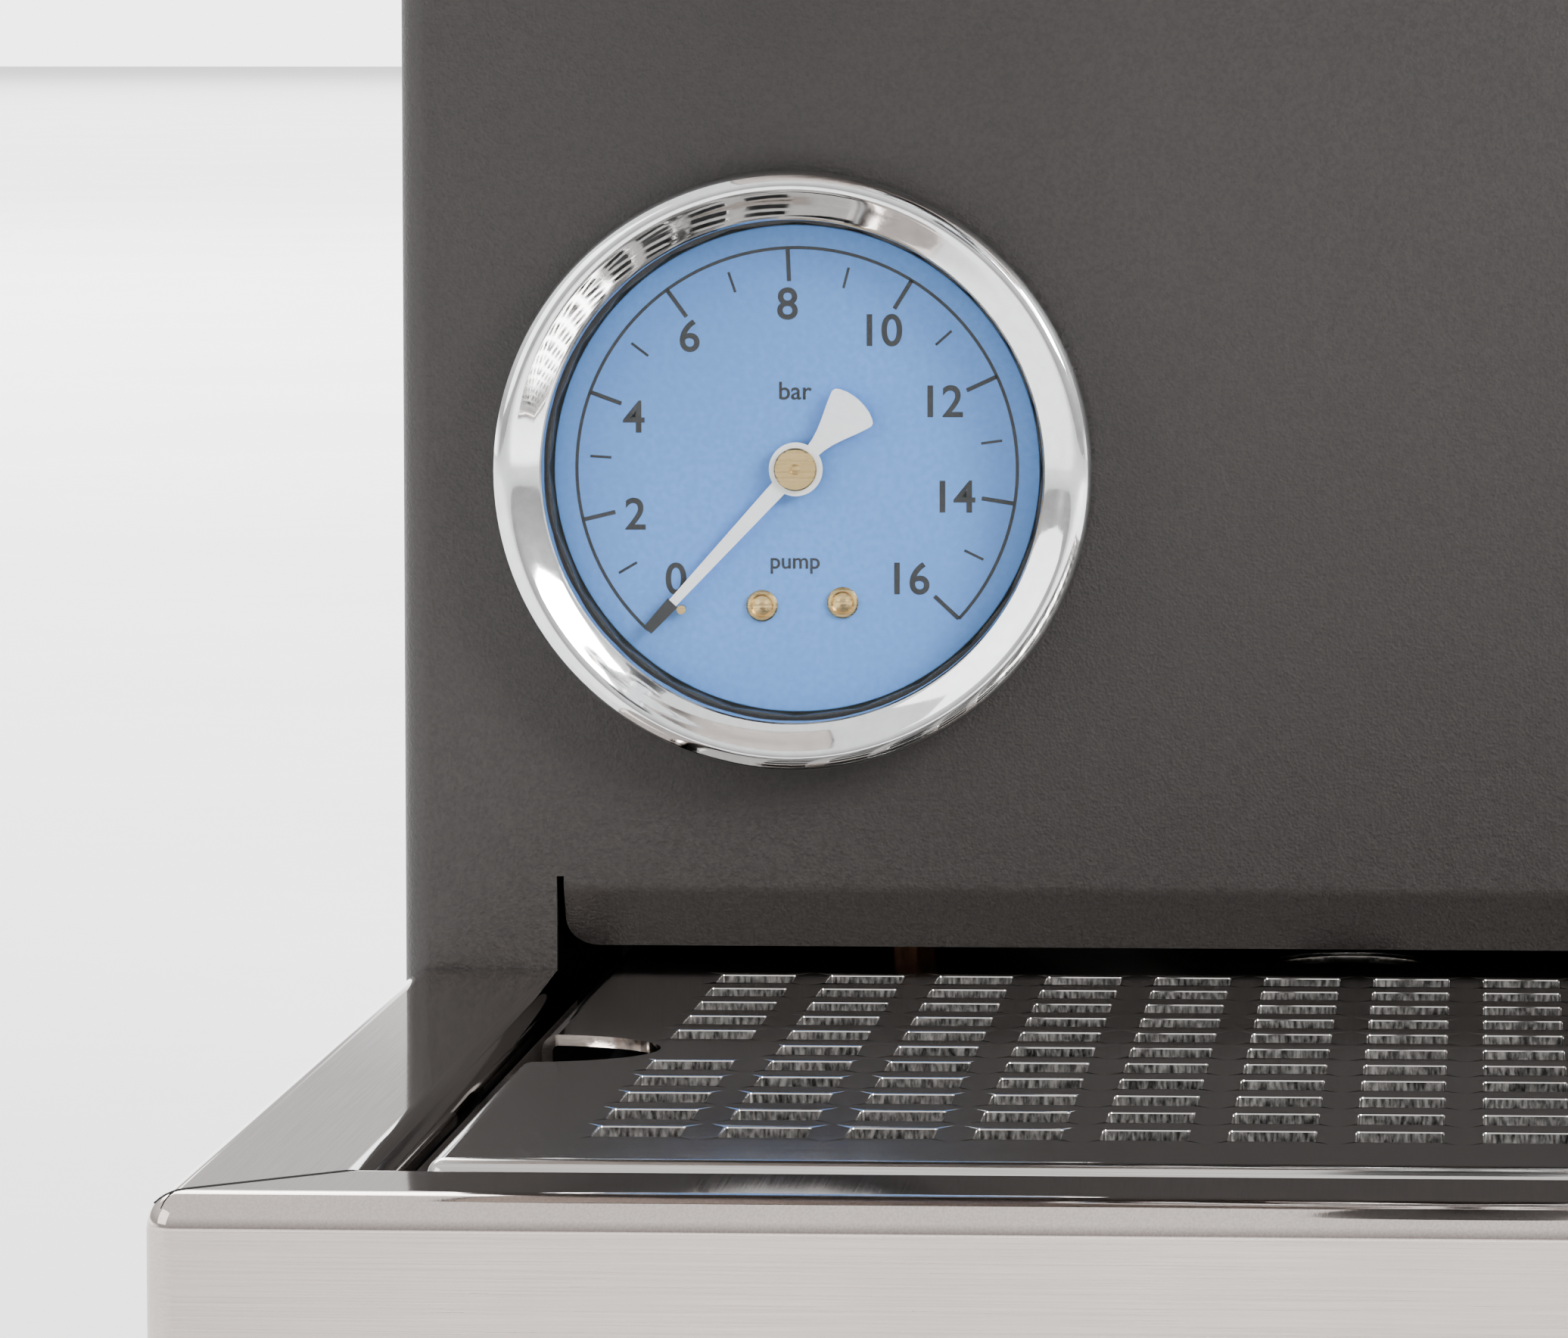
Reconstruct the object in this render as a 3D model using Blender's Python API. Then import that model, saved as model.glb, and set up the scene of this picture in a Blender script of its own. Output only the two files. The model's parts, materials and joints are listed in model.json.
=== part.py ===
"""A compact single-boiler espresso machine, modelled as separate pieces.

All sizes below are in millimetres and become metres when a mesh is made. The front faces -Y.
Until the whole machine is centred, Y = 0 is the face of the front panel and Z = 0 is the worktop.
"""

import math

import bmesh
import bpy
from mathutils import Matrix, Vector

MM = 0.001
GAP = 0.3  # between two pieces that touch

# Overall sizes
BODY_WIDTH = 211.0
BODY_DEPTH = 208.0  # front panel to rear panel
TRAY_REACH = 165.0  # front panel to the front of the drip tray
GROUP_Y = -70.0  # the group's axis
GROUP_RADIUS = 42.5
GROUP_FLANGE = GROUP_RADIUS + 5.5
HEAD_REACH = GROUP_FLANGE - GROUP_Y + 22.0  # front panel to the front of the head
FOOT_HEIGHT = 15.0
TRAY_TOP = 70.0
HEAD_BOTTOM = 258.0
BODY_TOP = 358.0
RAIL_RISE = 24.0  # cup rail above the top plate

# Sheet metal
BASE_SHEET = 2.0
SHELL_SHEET = 1.0
FRAME_SHEET = 1.2
TOP_SHEET = 1.7
CORNER_RADIUS = 3.0
HALF_WIDTH = BODY_WIDTH / 2
BASE_TOP = FOOT_HEIGHT + BASE_SHEET
STANDING = BASE_TOP + GAP  # underside of what stands on the base plate
INNER_HALF = HALF_WIDTH - SHELL_SHEET
REAR_FACE = BODY_DEPTH
TOP_PLATE_BOTTOM = BODY_TOP + GAP
TOP_PLATE_TOP = TOP_PLATE_BOTTOM + TOP_SHEET
HEAD_FRONT = -HEAD_REACH

# Front panel
CUTOUT_HALF = HALF_WIDTH - 15.4
LIP_BEND = 8.0  # the lip's bend line above the tray
LIP_DROP = 6.0
LIP_BACK = 3.4
LIP_RELIEF = 0.7
PASSAGE_HALF = HALF_WIDTH - 17.5  # opening from the body into the head

# Drip tray
STRIP_SIDE = 17.5
STRIP_FRONT = 17.5
FRAME_BEND = 3.0
GRILLE_CLEARANCE = 3.0  # between the grille and the frame's opening at the sides
GRILLE_SHEET = 1.0
GRILLE_PROUD = 0.5
GRILLE_BEHIND = 28.0  # how far the grille reaches behind the front panel
GRILLE_SKIRT = 8.0
HOLE_COLUMNS = 14
HOLE_ROWS = 11
HOLE_PITCH_X = 10.65
HOLE_PITCH_Y = 11.59
HOLE_WIDTH = 7.3
HOLE_LENGTH = 7.0
LAST_ROW_FROM_PANEL = 8.6
NOTCH_ROW = 5
NOTCH_DEPTH = 12.0
NOTCH_LENGTH = 21.0
DRAIN_X = -11.5
DRAIN_Y = 8.0
DRAIN_RADIUS = 7.0
PAN_WALL = 2.0
GRILLE_HALF = HALF_WIDTH - STRIP_SIDE - GRILLE_CLEARANCE
GRILLE_FRONT = -TRAY_REACH + STRIP_FRONT + 0.5
GRILLE_TOP = TRAY_TOP + GRILLE_PROUD
PAN_TOP = GRILLE_TOP - GRILLE_SKIRT - GAP

# Pump pressure gauge
GAUGE_X = -HALF_WIDTH + 39.3
GAUGE_Z = TRAY_TOP + 49.7
CASE_RADIUS = 25.0
BEZEL_RADIUS = CASE_RADIUS + 4.35
BEZEL_OPENING = CASE_RADIUS - 0.35
BEZEL_RISE = 7.2
CASE_WALL = 0.6
CASE_DEPTH = 28.0
NEEDLE_LENGTH = CASE_RADIUS - 3.3
NEEDLE_TAIL = CASE_RADIUS * 0.36
TUBE_OFFSET = 19.8  # the gauge's tube, outwards from the gauge

# Group and portafilter
GROUP_BOTTOM = 235.5
BAYONET_RADIUS = GROUP_RADIUS - 4.3
BAYONET_LIP = BAYONET_RADIUS - 4.0
LIP_HEIGHT = 3.3
GASKET_HEIGHT = 8.0
CUP_RADIUS = GROUP_RADIUS - 9.0
CUP_BORE = CUP_RADIUS - 3.0
FILTER_RADIUS = CUP_RADIUS - 4.5
CUP_HEIGHT = 33.4
SPOUT_TIP = 170.0
SPOUT_SPREAD = 14.0
HANDLE_REACH = 190.0
NECK_REACH = 60.0
RIM_TOP = 246.7  # the filter's rim, just under the gasket
GASKET_BOTTOM = RIM_TOP + GAP
GASKET_TOP = GASKET_BOTTOM + GASKET_HEIGHT
FILTER_RIM = 1.0
CUP_TOP = RIM_TOP - FILTER_RIM - GAP

# Boiler
BOILER_RADIUS = GROUP_RADIUS - 0.5
BOILER_WALL = 3.0
BOILER_HEIGHT = 72.0
BOILER_FLANGE = 5.0
GROUP_CEILING = 8.7
FLANGE_TOP = GASKET_TOP + GAP + GROUP_CEILING
BOILER_FOOT = FLANGE_TOP + GAP

# Steam wand
WAND_X = HALF_WIDTH - 25.5
WAND_Y = -62.0
BALL_RADIUS = 8.0
BALL_Z = HEAD_BOTTOM - 9.0
WAND_TIP_Z = 112.0

# Controls on the head
CONTROL_Z = 308.0
KNOB_X = HALF_WIDTH - 27.5
KNOB_RADIUS = 17.0
KNOB_LENGTH = 22.0
ROCKER_PLACES = {"power": -12.0, "brew": 14.0, "steam": 40.0}
ROCKER_WIDTH = 20.0
ROCKER_HALF_HEIGHT = 12.0
ROCKER_TILT = 8.0
SWITCH_WIDTH = 78.0
SWITCH_HEIGHT = 34.0
DISPLAY_X = -HALF_WIDTH + 44.5
DISPLAY_WIDTH = 54.0
DISPLAY_HEIGHT = 34.0
DISPLAY_PROUD = 1.5
BUTTON_RADIUS = 4.0
BUTTON_SPREAD = 11.0
BUTTON_DROP = 9.5

# Water system
TANK_FRONT = 118.0
TANK_WALL = 2.0
TANK_HEIGHT = 200.0
SHELF_Z = 146.0
PIPE_RADIUS = 2.5
HOSE_RADIUS = 4.5
PUMP_X = -58.0
PUMP_Z = 52.0
PUMP_FRONT = 66.0
PUMP_BACK = 150.0
LID_FRONT = 114.0
LID_HINGE_Y = REAR_FACE - 1.0
INLET_X = 62.0
INLET_Z = 52.0
INLET_HALF_X = 14.0
INLET_HALF_Z = 10.0

ROUND_STEPS = 24
SMALL_STEPS = 12
FRONT_END = GROUP_Y - HANDLE_REACH
CENTRE_SHIFT = -(FRONT_END + REAR_FACE) / 2

# name: (colour, metallic, roughness)
FINISHES = {
    "powder_coat": ((0.060, 0.056, 0.053), 0.0, 0.55),
    "polished_steel": ((0.62, 0.61, 0.60), 1.0, 0.12),
    "brushed_steel": ((0.58, 0.57, 0.56), 1.0, 0.30),
    "chrome": ((0.72, 0.72, 0.73), 1.0, 0.06),
    "brass": ((0.58, 0.42, 0.18), 1.0, 0.30),
    "copper": ((0.72, 0.36, 0.22), 1.0, 0.28),
    "black_plastic": ((0.016, 0.016, 0.017), 0.0, 0.42),
    "grey_plastic": ((0.20, 0.20, 0.21), 0.0, 0.50),
    "clear_plastic": ((0.70, 0.76, 0.80), 0.0, 0.12),
    "rubber": ((0.020, 0.020, 0.020), 0.0, 0.80),
    "silicone": ((0.75, 0.74, 0.70), 0.0, 0.60),
    "glass": ((0.90, 0.93, 0.95), 0.0, 0.03),
    "dial_blue": ((0.20, 0.39, 0.69), 0.0, 0.45),
    "needle_white": ((0.85, 0.87, 0.90), 0.0, 0.40),
}

# The joint axes pass through these points; "chassis" holds all that stays put.
PIVOTS = {
    "chassis": (0.0, 0.0, 0.0),
    "drip_tray": (0.0, -TRAY_REACH, STANDING),
    "gauge_needle": (GAUGE_X, 0.0, GAUGE_Z),
    "portafilter": (0.0, GROUP_Y, CUP_TOP),
    "wand_ball": (WAND_X, WAND_Y, BALL_Z),
    "wand": (WAND_X, WAND_Y, BALL_Z),
    "steam_knob": (KNOB_X, HEAD_FRONT, CONTROL_Z),
    "tank_lid": (0.0, LID_HINGE_Y, TOP_PLATE_TOP),
}
for switch, switch_x in ROCKER_PLACES.items():
    PIVOTS[f"rocker_{switch}"] = (switch_x, HEAD_FRONT + 4.0, CONTROL_Z)
for side, sign in (("up", 1), ("down", -1)):
    place = (DISPLAY_X + sign * BUTTON_SPREAD, HEAD_FRONT, CONTROL_Z - BUTTON_DROP)
    PIVOTS[f"button_{side}"] = place

holders = {}


# Making objects


def clear_scene():
    for old in list(bpy.data.objects):
        bpy.data.objects.remove(old)


def finish_material(name):
    material = bpy.data.materials.get(name)
    if material:
        return material
    colour, metallic, roughness = FINISHES[name]
    material = bpy.data.materials.new(name)
    material.use_nodes = True
    shader = material.node_tree.nodes["Principled BSDF"]
    shader.inputs["Base Color"].default_value = (*colour, 1.0)
    shader.inputs["Metallic"].default_value = metallic
    shader.inputs["Roughness"].default_value = roughness
    return material


def add_holders():
    """One empty for the machine, and one on each joint's axis."""
    for name, pivot in PIVOTS.items():
        holder = bpy.data.objects.new(f"axis_{name}", None)
        bpy.context.collection.objects.link(holder)
        holder.location = Vector(pivot) * MM
        if name == "chassis":
            holder.location.y = CENTRE_SHIFT * MM
        else:
            holder.parent = holders["chassis"]
        holders[name] = holder


def make(name, shape, finish, body="chassis"):
    """Turns a bmesh in millimetres, in the machine's place, into an object held by a body."""
    bmesh.ops.recalc_face_normals(shape, faces=shape.faces)
    if shape.calc_volume(signed=True) < 0:
        bmesh.ops.reverse_faces(shape, faces=shape.faces)
    shape.transform(Matrix.Translation(-Vector(PIVOTS[body])))
    shape.transform(Matrix.Scale(MM, 4))
    mesh = bpy.data.meshes.new(name)
    shape.to_mesh(mesh)
    shape.free()
    mesh.shade_smooth()
    mesh.set_sharp_from_angle(angle=math.radians(32))
    mesh.materials.append(finish_material(finish))
    piece = bpy.data.objects.new(name, mesh)
    bpy.context.collection.objects.link(piece)
    piece.parent = holders[body]
    return piece


def combine(piece, shapes, operation):
    """Cuts shapes out of a piece or joins them to it, one Boolean each."""
    body = piece.parent.name.removeprefix("axis_")
    finish = piece.data.materials[0].name
    for count, shape in enumerate(shapes):
        tool = make(f"{piece.name}_{operation.lower()}_{count}", shape, finish, body)
        tool.hide_render = True
        tool.display_type = "WIRE"
        modifier = piece.modifiers.new(tool.name, "BOOLEAN")
        modifier.operation = operation
        modifier.object = tool
        modifier.solver = "EXACT"
    return piece


def cut(piece, *shapes):
    return combine(piece, shapes, "DIFFERENCE")


def join(piece, *shapes):
    return combine(piece, shapes, "UNION")


# Shapes, as bmeshes in millimetres


def block(x, y, z, bevel=0.0, steps=2):
    """A box from (low, high) pairs, with every edge rounded by bevel."""
    shape = bmesh.new()
    bmesh.ops.create_cube(shape, size=1.0)
    size = Vector((x[1] - x[0], y[1] - y[0], z[1] - z[0]))
    middle = Vector((x[0] + x[1], y[0] + y[1], z[0] + z[1])) / 2
    shape.transform(Matrix.Translation(middle) @ Matrix.Diagonal((*size, 1.0)))
    if bevel:
        bmesh.ops.bevel(shape, geom=shape.edges, offset=bevel, segments=steps, profile=0.5, affect="EDGES")
    return shape


def arc(centre, radius, start, end, steps):
    """Points on a circle, from start to end in degrees."""
    angles = [math.radians(start + (end - start) * k / steps) for k in range(steps + 1)]
    return [(centre[0] + radius * math.cos(a), centre[1] + radius * math.sin(a)) for a in angles]


def circle(centre, radius, steps=SMALL_STEPS):
    return arc(centre, radius, 0, 360, steps)[:-1]


def rectangle(x, y):
    return [(x[0], y[0]), (x[1], y[0]), (x[1], y[1]), (x[0], y[1])]


# How a flat outline's two directions and its thickness lie in space
FLAT = Matrix(((1, 0, 0), (0, 1, 0), (0, 0, 1)))
FACING_FRONT = Matrix(((1, 0, 0), (0, 0, 1), (0, 1, 0)))  # outline in XZ, thickness along Y
SIDEWAYS = Matrix(((0, 0, 1), (1, 0, 0), (0, 1, 0)))  # outline in YZ, thickness along X


def sheet(outline, low, high, holes=(), lie=FLAT):
    """A flat outline with holes, as a plate from low to high."""
    shape = bmesh.new()
    edges = []
    for loop in (outline, *holes):
        corners = [shape.verts.new((*point, low)) for point in loop]
        edges += [shape.edges.new((corners[k - 1], corners[k])) for k in range(len(corners))]
    bmesh.ops.triangle_fill(shape, use_beauty=True, edges=edges)
    raised = bmesh.ops.extrude_face_region(shape, geom=shape.faces[:], use_keep_orig=True)
    moved = [v for v in raised["geom"] if isinstance(v, bmesh.types.BMVert)]
    bmesh.ops.translate(shape, verts=moved, vec=(0, 0, high - low))
    shape.transform(lie.to_4x4())
    return shape


def turned(profile, centre, towards=(0, 0, 1), steps=ROUND_STEPS):
    """A closed (radius, height) profile turned about the line through centre, along towards."""
    shape = bmesh.new()
    rings = []
    for radius, height in profile:
        count = 1 if radius == 0 else steps
        turns = [math.tau * k / steps for k in range(count)]
        rings.append([shape.verts.new((radius * math.cos(t), radius * math.sin(t), height)) for t in turns])
    for k, ring in enumerate(rings):
        following = rings[(k + 1) % len(rings)]
        if len(ring) == len(following) == 1:
            continue
        for step in range(steps):
            after = (step + 1) % steps
            quad = [ring[step % len(ring)], ring[after % len(ring)]]
            quad += [following[after % len(following)], following[step % len(following)]]
            shape.faces.new(list(dict.fromkeys(quad)))
    direction = Vector(towards).to_track_quat("Z", "Y").to_matrix().to_4x4()
    shape.transform(Matrix.Translation(centre) @ direction)
    return shape


def disc(radius, low, high, centre, towards=(0, 0, 1), steps=SMALL_STEPS):
    return turned([(0, low), (radius, low), (radius, high), (0, high)], centre, towards, steps)


def rounded_path(corners, radius, steps=3):
    """The corners of a bent tube, with an arc of points at each bend."""
    points = [Vector(corners[0])]
    for before, corner, after in zip(corners, corners[1:], corners[2:]):
        corner = Vector(corner)
        arriving = (Vector(before) - corner).normalized()
        leaving = (Vector(after) - corner).normalized()
        half = arriving.angle(leaving) / 2
        reach = radius / math.tan(half)
        middle = corner + (arriving + leaving).normalized() * radius / math.sin(half)
        start = (corner + arriving * reach - middle).normalized()
        end = (corner + leaving * reach - middle).normalized()
        points += [middle + start.slerp(end, k / steps) * radius for k in range(steps + 1)]
    points.append(Vector(corners[-1]))
    return points


def rod(points, radius, sides=8):
    """A round rod along points, closed at both ends. Radius may be one value for each point."""
    radii = radius if isinstance(radius, list) else [radius] * len(points)
    points = [Vector(point) for point in points]
    shape = bmesh.new()
    rings = []
    heading = (points[1] - points[0]).normalized()
    across = heading.orthogonal().normalized()
    for k, point in enumerate(points):
        ahead = points[min(k + 1, len(points) - 1)]
        behind = points[max(k - 1, 0)]
        new_heading = (ahead - behind).normalized()
        across = (heading.rotation_difference(new_heading) @ across).normalized()
        heading = new_heading
        up = heading.cross(across)
        turns = [math.tau * s / sides for s in range(sides)]
        ring = [point + radii[k] * (across * math.cos(t) + up * math.sin(t)) for t in turns]
        rings.append([shape.verts.new(place) for place in ring])
    for ring, following in zip(rings, rings[1:]):
        for s in range(sides):
            shape.faces.new((ring[s - 1], ring[s], following[s], following[s - 1]))
    shape.faces.new(rings[0])
    shape.faces.new(rings[-1])
    return shape


# Casing


def folded_plan(front, back, half, thickness):
    """Plan of a sheet folded into a U: a front wall with two sides, open at the back."""
    inner_radius = CORNER_RADIUS - thickness
    left, right = -half + CORNER_RADIUS, half - CORNER_RADIUS
    corner_y = front + CORNER_RADIUS
    outer = [(-half, back)] + arc((left, corner_y), CORNER_RADIUS, 180, 270, 4)
    outer += arc((right, corner_y), CORNER_RADIUS, 270, 360, 4) + [(half, back)]
    inner = [(half - thickness, back)] + arc((right, corner_y), inner_radius, 0, -90, 4)
    inner += arc((left, corner_y), inner_radius, -90, -180, 4) + [(-half + thickness, back)]
    return outer + inner


def add_base():
    inset = 2.0
    span = (-HALF_WIDTH + inset, HALF_WIDTH - inset)
    depth = (-TRAY_REACH + inset + FRAME_SHEET, REAR_FACE - inset)
    make("base_plate", block(span, depth, (FOOT_HEIGHT, BASE_TOP)), "brushed_steel")
    foot_radius = 13.0
    foot_inset = 22.0
    profile = [(0, 4), (4, 4), (4, 0), (foot_radius - 3, 0), (foot_radius - 1.5, 1.5)]
    profile += [(foot_radius, FOOT_HEIGHT - GAP), (0, FOOT_HEIGHT - GAP)]
    for front_or_rear, y in (("front", depth[0] + foot_inset), ("rear", depth[1] - foot_inset)):
        for left_or_right, x in (("left", span[0] + foot_inset), ("right", span[1] - foot_inset)):
            foot = turned(profile, (x, y, 0), steps=16)
            make(f"foot_{front_or_rear}_{left_or_right}", foot, "rubber")


def add_body_shell():
    back = REAR_FACE - SHELL_SHEET - GAP
    walls = sheet(folded_plan(0, back, HALF_WIDTH, SHELL_SHEET), STANDING, BODY_TOP)
    shell = make("body_shell", walls, "powder_coat")
    bend_z = TRAY_TOP + LIP_BEND
    through = (-5, 2)
    cutout = block((-CUTOUT_HALF, CUTOUT_HALF), through, (0, bend_z))
    passage = block((-PASSAGE_HALF, PASSAGE_HALF), through, (HEAD_BOTTOM + 6, BODY_TOP - 8))
    gauge_hole = disc(CASE_RADIUS + GAP, -2, 5, (GAUGE_X, 0, GAUGE_Z), (0, 1, 0), ROUND_STEPS)
    cut(shell, cutout, passage, gauge_hole)
    slant = Vector((LIP_BACK, -LIP_DROP))
    behind = Vector((-slant.y, slant.x)).normalized() * SHELL_SHEET
    edge = Vector((0, bend_z)) + slant
    inner_edge = edge + behind
    inner_top = bend_z + SHELL_SHEET * math.tan(math.atan2(LIP_BACK, LIP_DROP) / 2)
    overlap = 2.0
    section = [(0, bend_z + overlap), (0, bend_z), edge[:], inner_edge[:]]
    section += [(SHELL_SHEET, inner_top), (SHELL_SHEET, bend_z + overlap)]
    lip_half = CUTOUT_HALF - LIP_RELIEF
    join(shell, sheet(section, -lip_half, lip_half, lie=SIDEWAYS))


def add_rear_panel():
    slot_rows = 7
    slot_pitch = 9.0
    slot_half = 34.0
    rows = [200.0 + k * slot_pitch for k in range(slot_rows)]
    slot_height = 3.5
    slots = [rectangle((-slot_half, slot_half), (z, z + slot_height)) for z in rows]
    half_x, half_z = INLET_HALF_X + GAP, INLET_HALF_Z + GAP
    inlet = rectangle((INLET_X - half_x, INLET_X + half_x), (INLET_Z - half_z, INLET_Z + half_z))
    outline = rectangle((-HALF_WIDTH, HALF_WIDTH), (STANDING, BODY_TOP))
    panel = sheet(outline, REAR_FACE - SHELL_SHEET, REAR_FACE, slots + [inlet], FACING_FRONT)
    make("rear_panel", panel, "powder_coat")


def add_inlet_socket():
    """The mains inlet: a shell open to the rear, with three flat contacts inside."""
    x, z, wall = INLET_X, INLET_Z, 2.0
    half_x, half_z = INLET_HALF_X, INLET_HALF_Z
    front, floor = REAR_FACE - 24, REAR_FACE - 16
    shell = block((x - half_x, x + half_x), (front, REAR_FACE), (z - half_z, z + half_z))
    socket = make("inlet_socket", shell, "black_plastic")
    inside = (floor, REAR_FACE + 1)
    space = block((x - half_x + wall, x + half_x - wall), inside, (z - half_z + wall, z + half_z - wall))
    cut(socket, space)
    contacts = []
    for contact_x, contact_z in ((x - 7, z - 2), (x, z + 2), (x + 7, z - 2)):
        thick, tall, tip = 1.0, 2.0, REAR_FACE - 6
        across = (contact_x - thick, contact_x + thick)
        contacts.append(block(across, (floor - 1, tip), (contact_z - tall, contact_z + tall)))
    join(socket, *contacts)


def add_head():
    back = -GAP
    walls = sheet(folded_plan(HEAD_FRONT, back, HALF_WIDTH, SHELL_SHEET), HEAD_BOTTOM, BODY_TOP)
    shell = make("head_shell", walls, "powder_coat")
    through = (HEAD_FRONT - 5, HEAD_FRONT + 3)
    display = opening_for(DISPLAY_X, DISPLAY_WIDTH - 4, DISPLAY_HEIGHT - 4, through)
    switches = opening_for(ROCKER_PLACES["brew"], SWITCH_WIDTH - 4, SWITCH_HEIGHT - 4, through)
    knob_hole = disc(4.0, -5, 5, (KNOB_X, HEAD_FRONT, CONTROL_Z), (0, 1, 0))
    cut(shell, display, switches, knob_hole)
    half = INNER_HALF - GAP
    front = HEAD_FRONT + SHELL_SHEET + GAP
    trim = CORNER_RADIUS - SHELL_SHEET  # the plate's corners clear the bend of the shell
    outline = [(-half, back), (-half, front + trim), (-half + trim, front)]
    outline += [(half - trim, front), (half, front + trim), (half, back)]
    group_hole = circle((0, GROUP_Y), GROUP_RADIUS + GAP + 0.4, ROUND_STEPS)
    wand_hole = circle((WAND_X, WAND_Y), 6.0)
    plate = sheet(outline, HEAD_BOTTOM, HEAD_BOTTOM + SHELL_SHEET, [group_hole, wand_hole])
    make("head_underside", plate, "brushed_steel")


def opening_for(x, width, height, through):
    wide = (x - width / 2, x + width / 2)
    tall = (CONTROL_Z - height / 2, CONTROL_Z + height / 2)
    return block(wide, through, tall)


def add_top():
    slot_columns, slot_rows = 9, 3
    pitch_x, pitch_y = 20.0, 62.0
    length = 46.0
    width = 5.0
    slots = []
    for column in range(slot_columns):
        for row in range(slot_rows):
            x = (column - (slot_columns - 1) / 2) * pitch_x
            y = (HEAD_FRONT + LID_FRONT) / 2 + (row - 1) * pitch_y
            slots.append(rectangle((x - width / 2, x + width / 2), (y - length / 2, y + length / 2)))
    outline = rectangle((-HALF_WIDTH, HALF_WIDTH), (HEAD_FRONT, LID_FRONT))
    plate = sheet(outline, TOP_PLATE_BOTTOM, TOP_PLATE_TOP, slots)
    make("top_plate", plate, "brushed_steel")
    add_cup_rail()
    finger = arc((0, LID_FRONT + 2 * GAP), 11.0, 180, 0, 8)
    lid_outline = [(-HALF_WIDTH, LID_FRONT + 2 * GAP), *finger, (HALF_WIDTH, LID_FRONT + 2 * GAP)]
    lid_outline += [(HALF_WIDTH, REAR_FACE), (-HALF_WIDTH, REAR_FACE)]
    lid = sheet(lid_outline, TOP_PLATE_BOTTOM, TOP_PLATE_TOP)
    make("tank_lid", lid, "brushed_steel", "tank_lid")


def add_cup_rail():
    """A round wire along the front and sides of the top, standing on six posts."""
    wire = 2.5
    inset = 7.0
    x = HALF_WIDTH - inset
    front, back = HEAD_FRONT + inset, LID_FRONT - inset
    low = TOP_PLATE_TOP + GAP
    high = TOP_PLATE_TOP + RAIL_RISE - wire
    corners = [(-x, back, low), (-x, back, high), (-x, front, high)]
    corners += [(x, front, high), (x, back, high), (x, back, low)]
    rail = make("cup_rail", rod(rounded_path(corners, 12.0), wire), "polished_steel")
    thin = wire - 0.4
    middle = (front + back) / 2
    places = [(-x, middle), (x, middle), (-x + 40, front), (x - 40, front)]
    join(rail, *[disc(thin, low, high, (px, py, 0), steps=10) for px, py in places])


# Drip tray


def add_tray_frame():
    outer = sheet(rounded_front(-TRAY_REACH, -2 * GAP, HALF_WIDTH, 2.5), STANDING, TRAY_TOP)
    top_edges = [
        e
        for e in outer.edges
        if all(abs(v.co.z - TRAY_TOP) < 0.01 for v in e.verts)
        and len(e.link_faces) == 2
        and any(abs(f.normal.z) < 0.5 for f in e.link_faces)
        and not all(v.co.y > -1 for v in e.verts)
    ]
    bmesh.ops.bevel(outer, geom=top_edges, offset=FRAME_BEND, segments=4, profile=0.5, affect="EDGES")
    frame = make("tray_frame", outer, "polished_steel", "drip_tray")
    half = HALF_WIDTH - FRAME_SHEET
    cavity = block((-half, half), (-TRAY_REACH + FRAME_SHEET, 5), (0, TRAY_TOP - FRAME_SHEET))
    opening_half = HALF_WIDTH - STRIP_SIDE
    window = (-TRAY_REACH + STRIP_FRONT, 5)
    opening = block((-opening_half, opening_half), window, (TRAY_TOP - 10, TRAY_TOP + 10))
    cut(frame, cavity, opening)


def rounded_front(front, back, half, radius):
    """A rectangle in plan, with its two front corners rounded."""
    outline = [(-half, back)]
    outline += arc((-half + radius, front + radius), radius, 180, 270, 3)
    outline += arc((half - radius, front + radius), radius, 270, 360, 3)
    return outline + [(half, back)]


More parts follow.
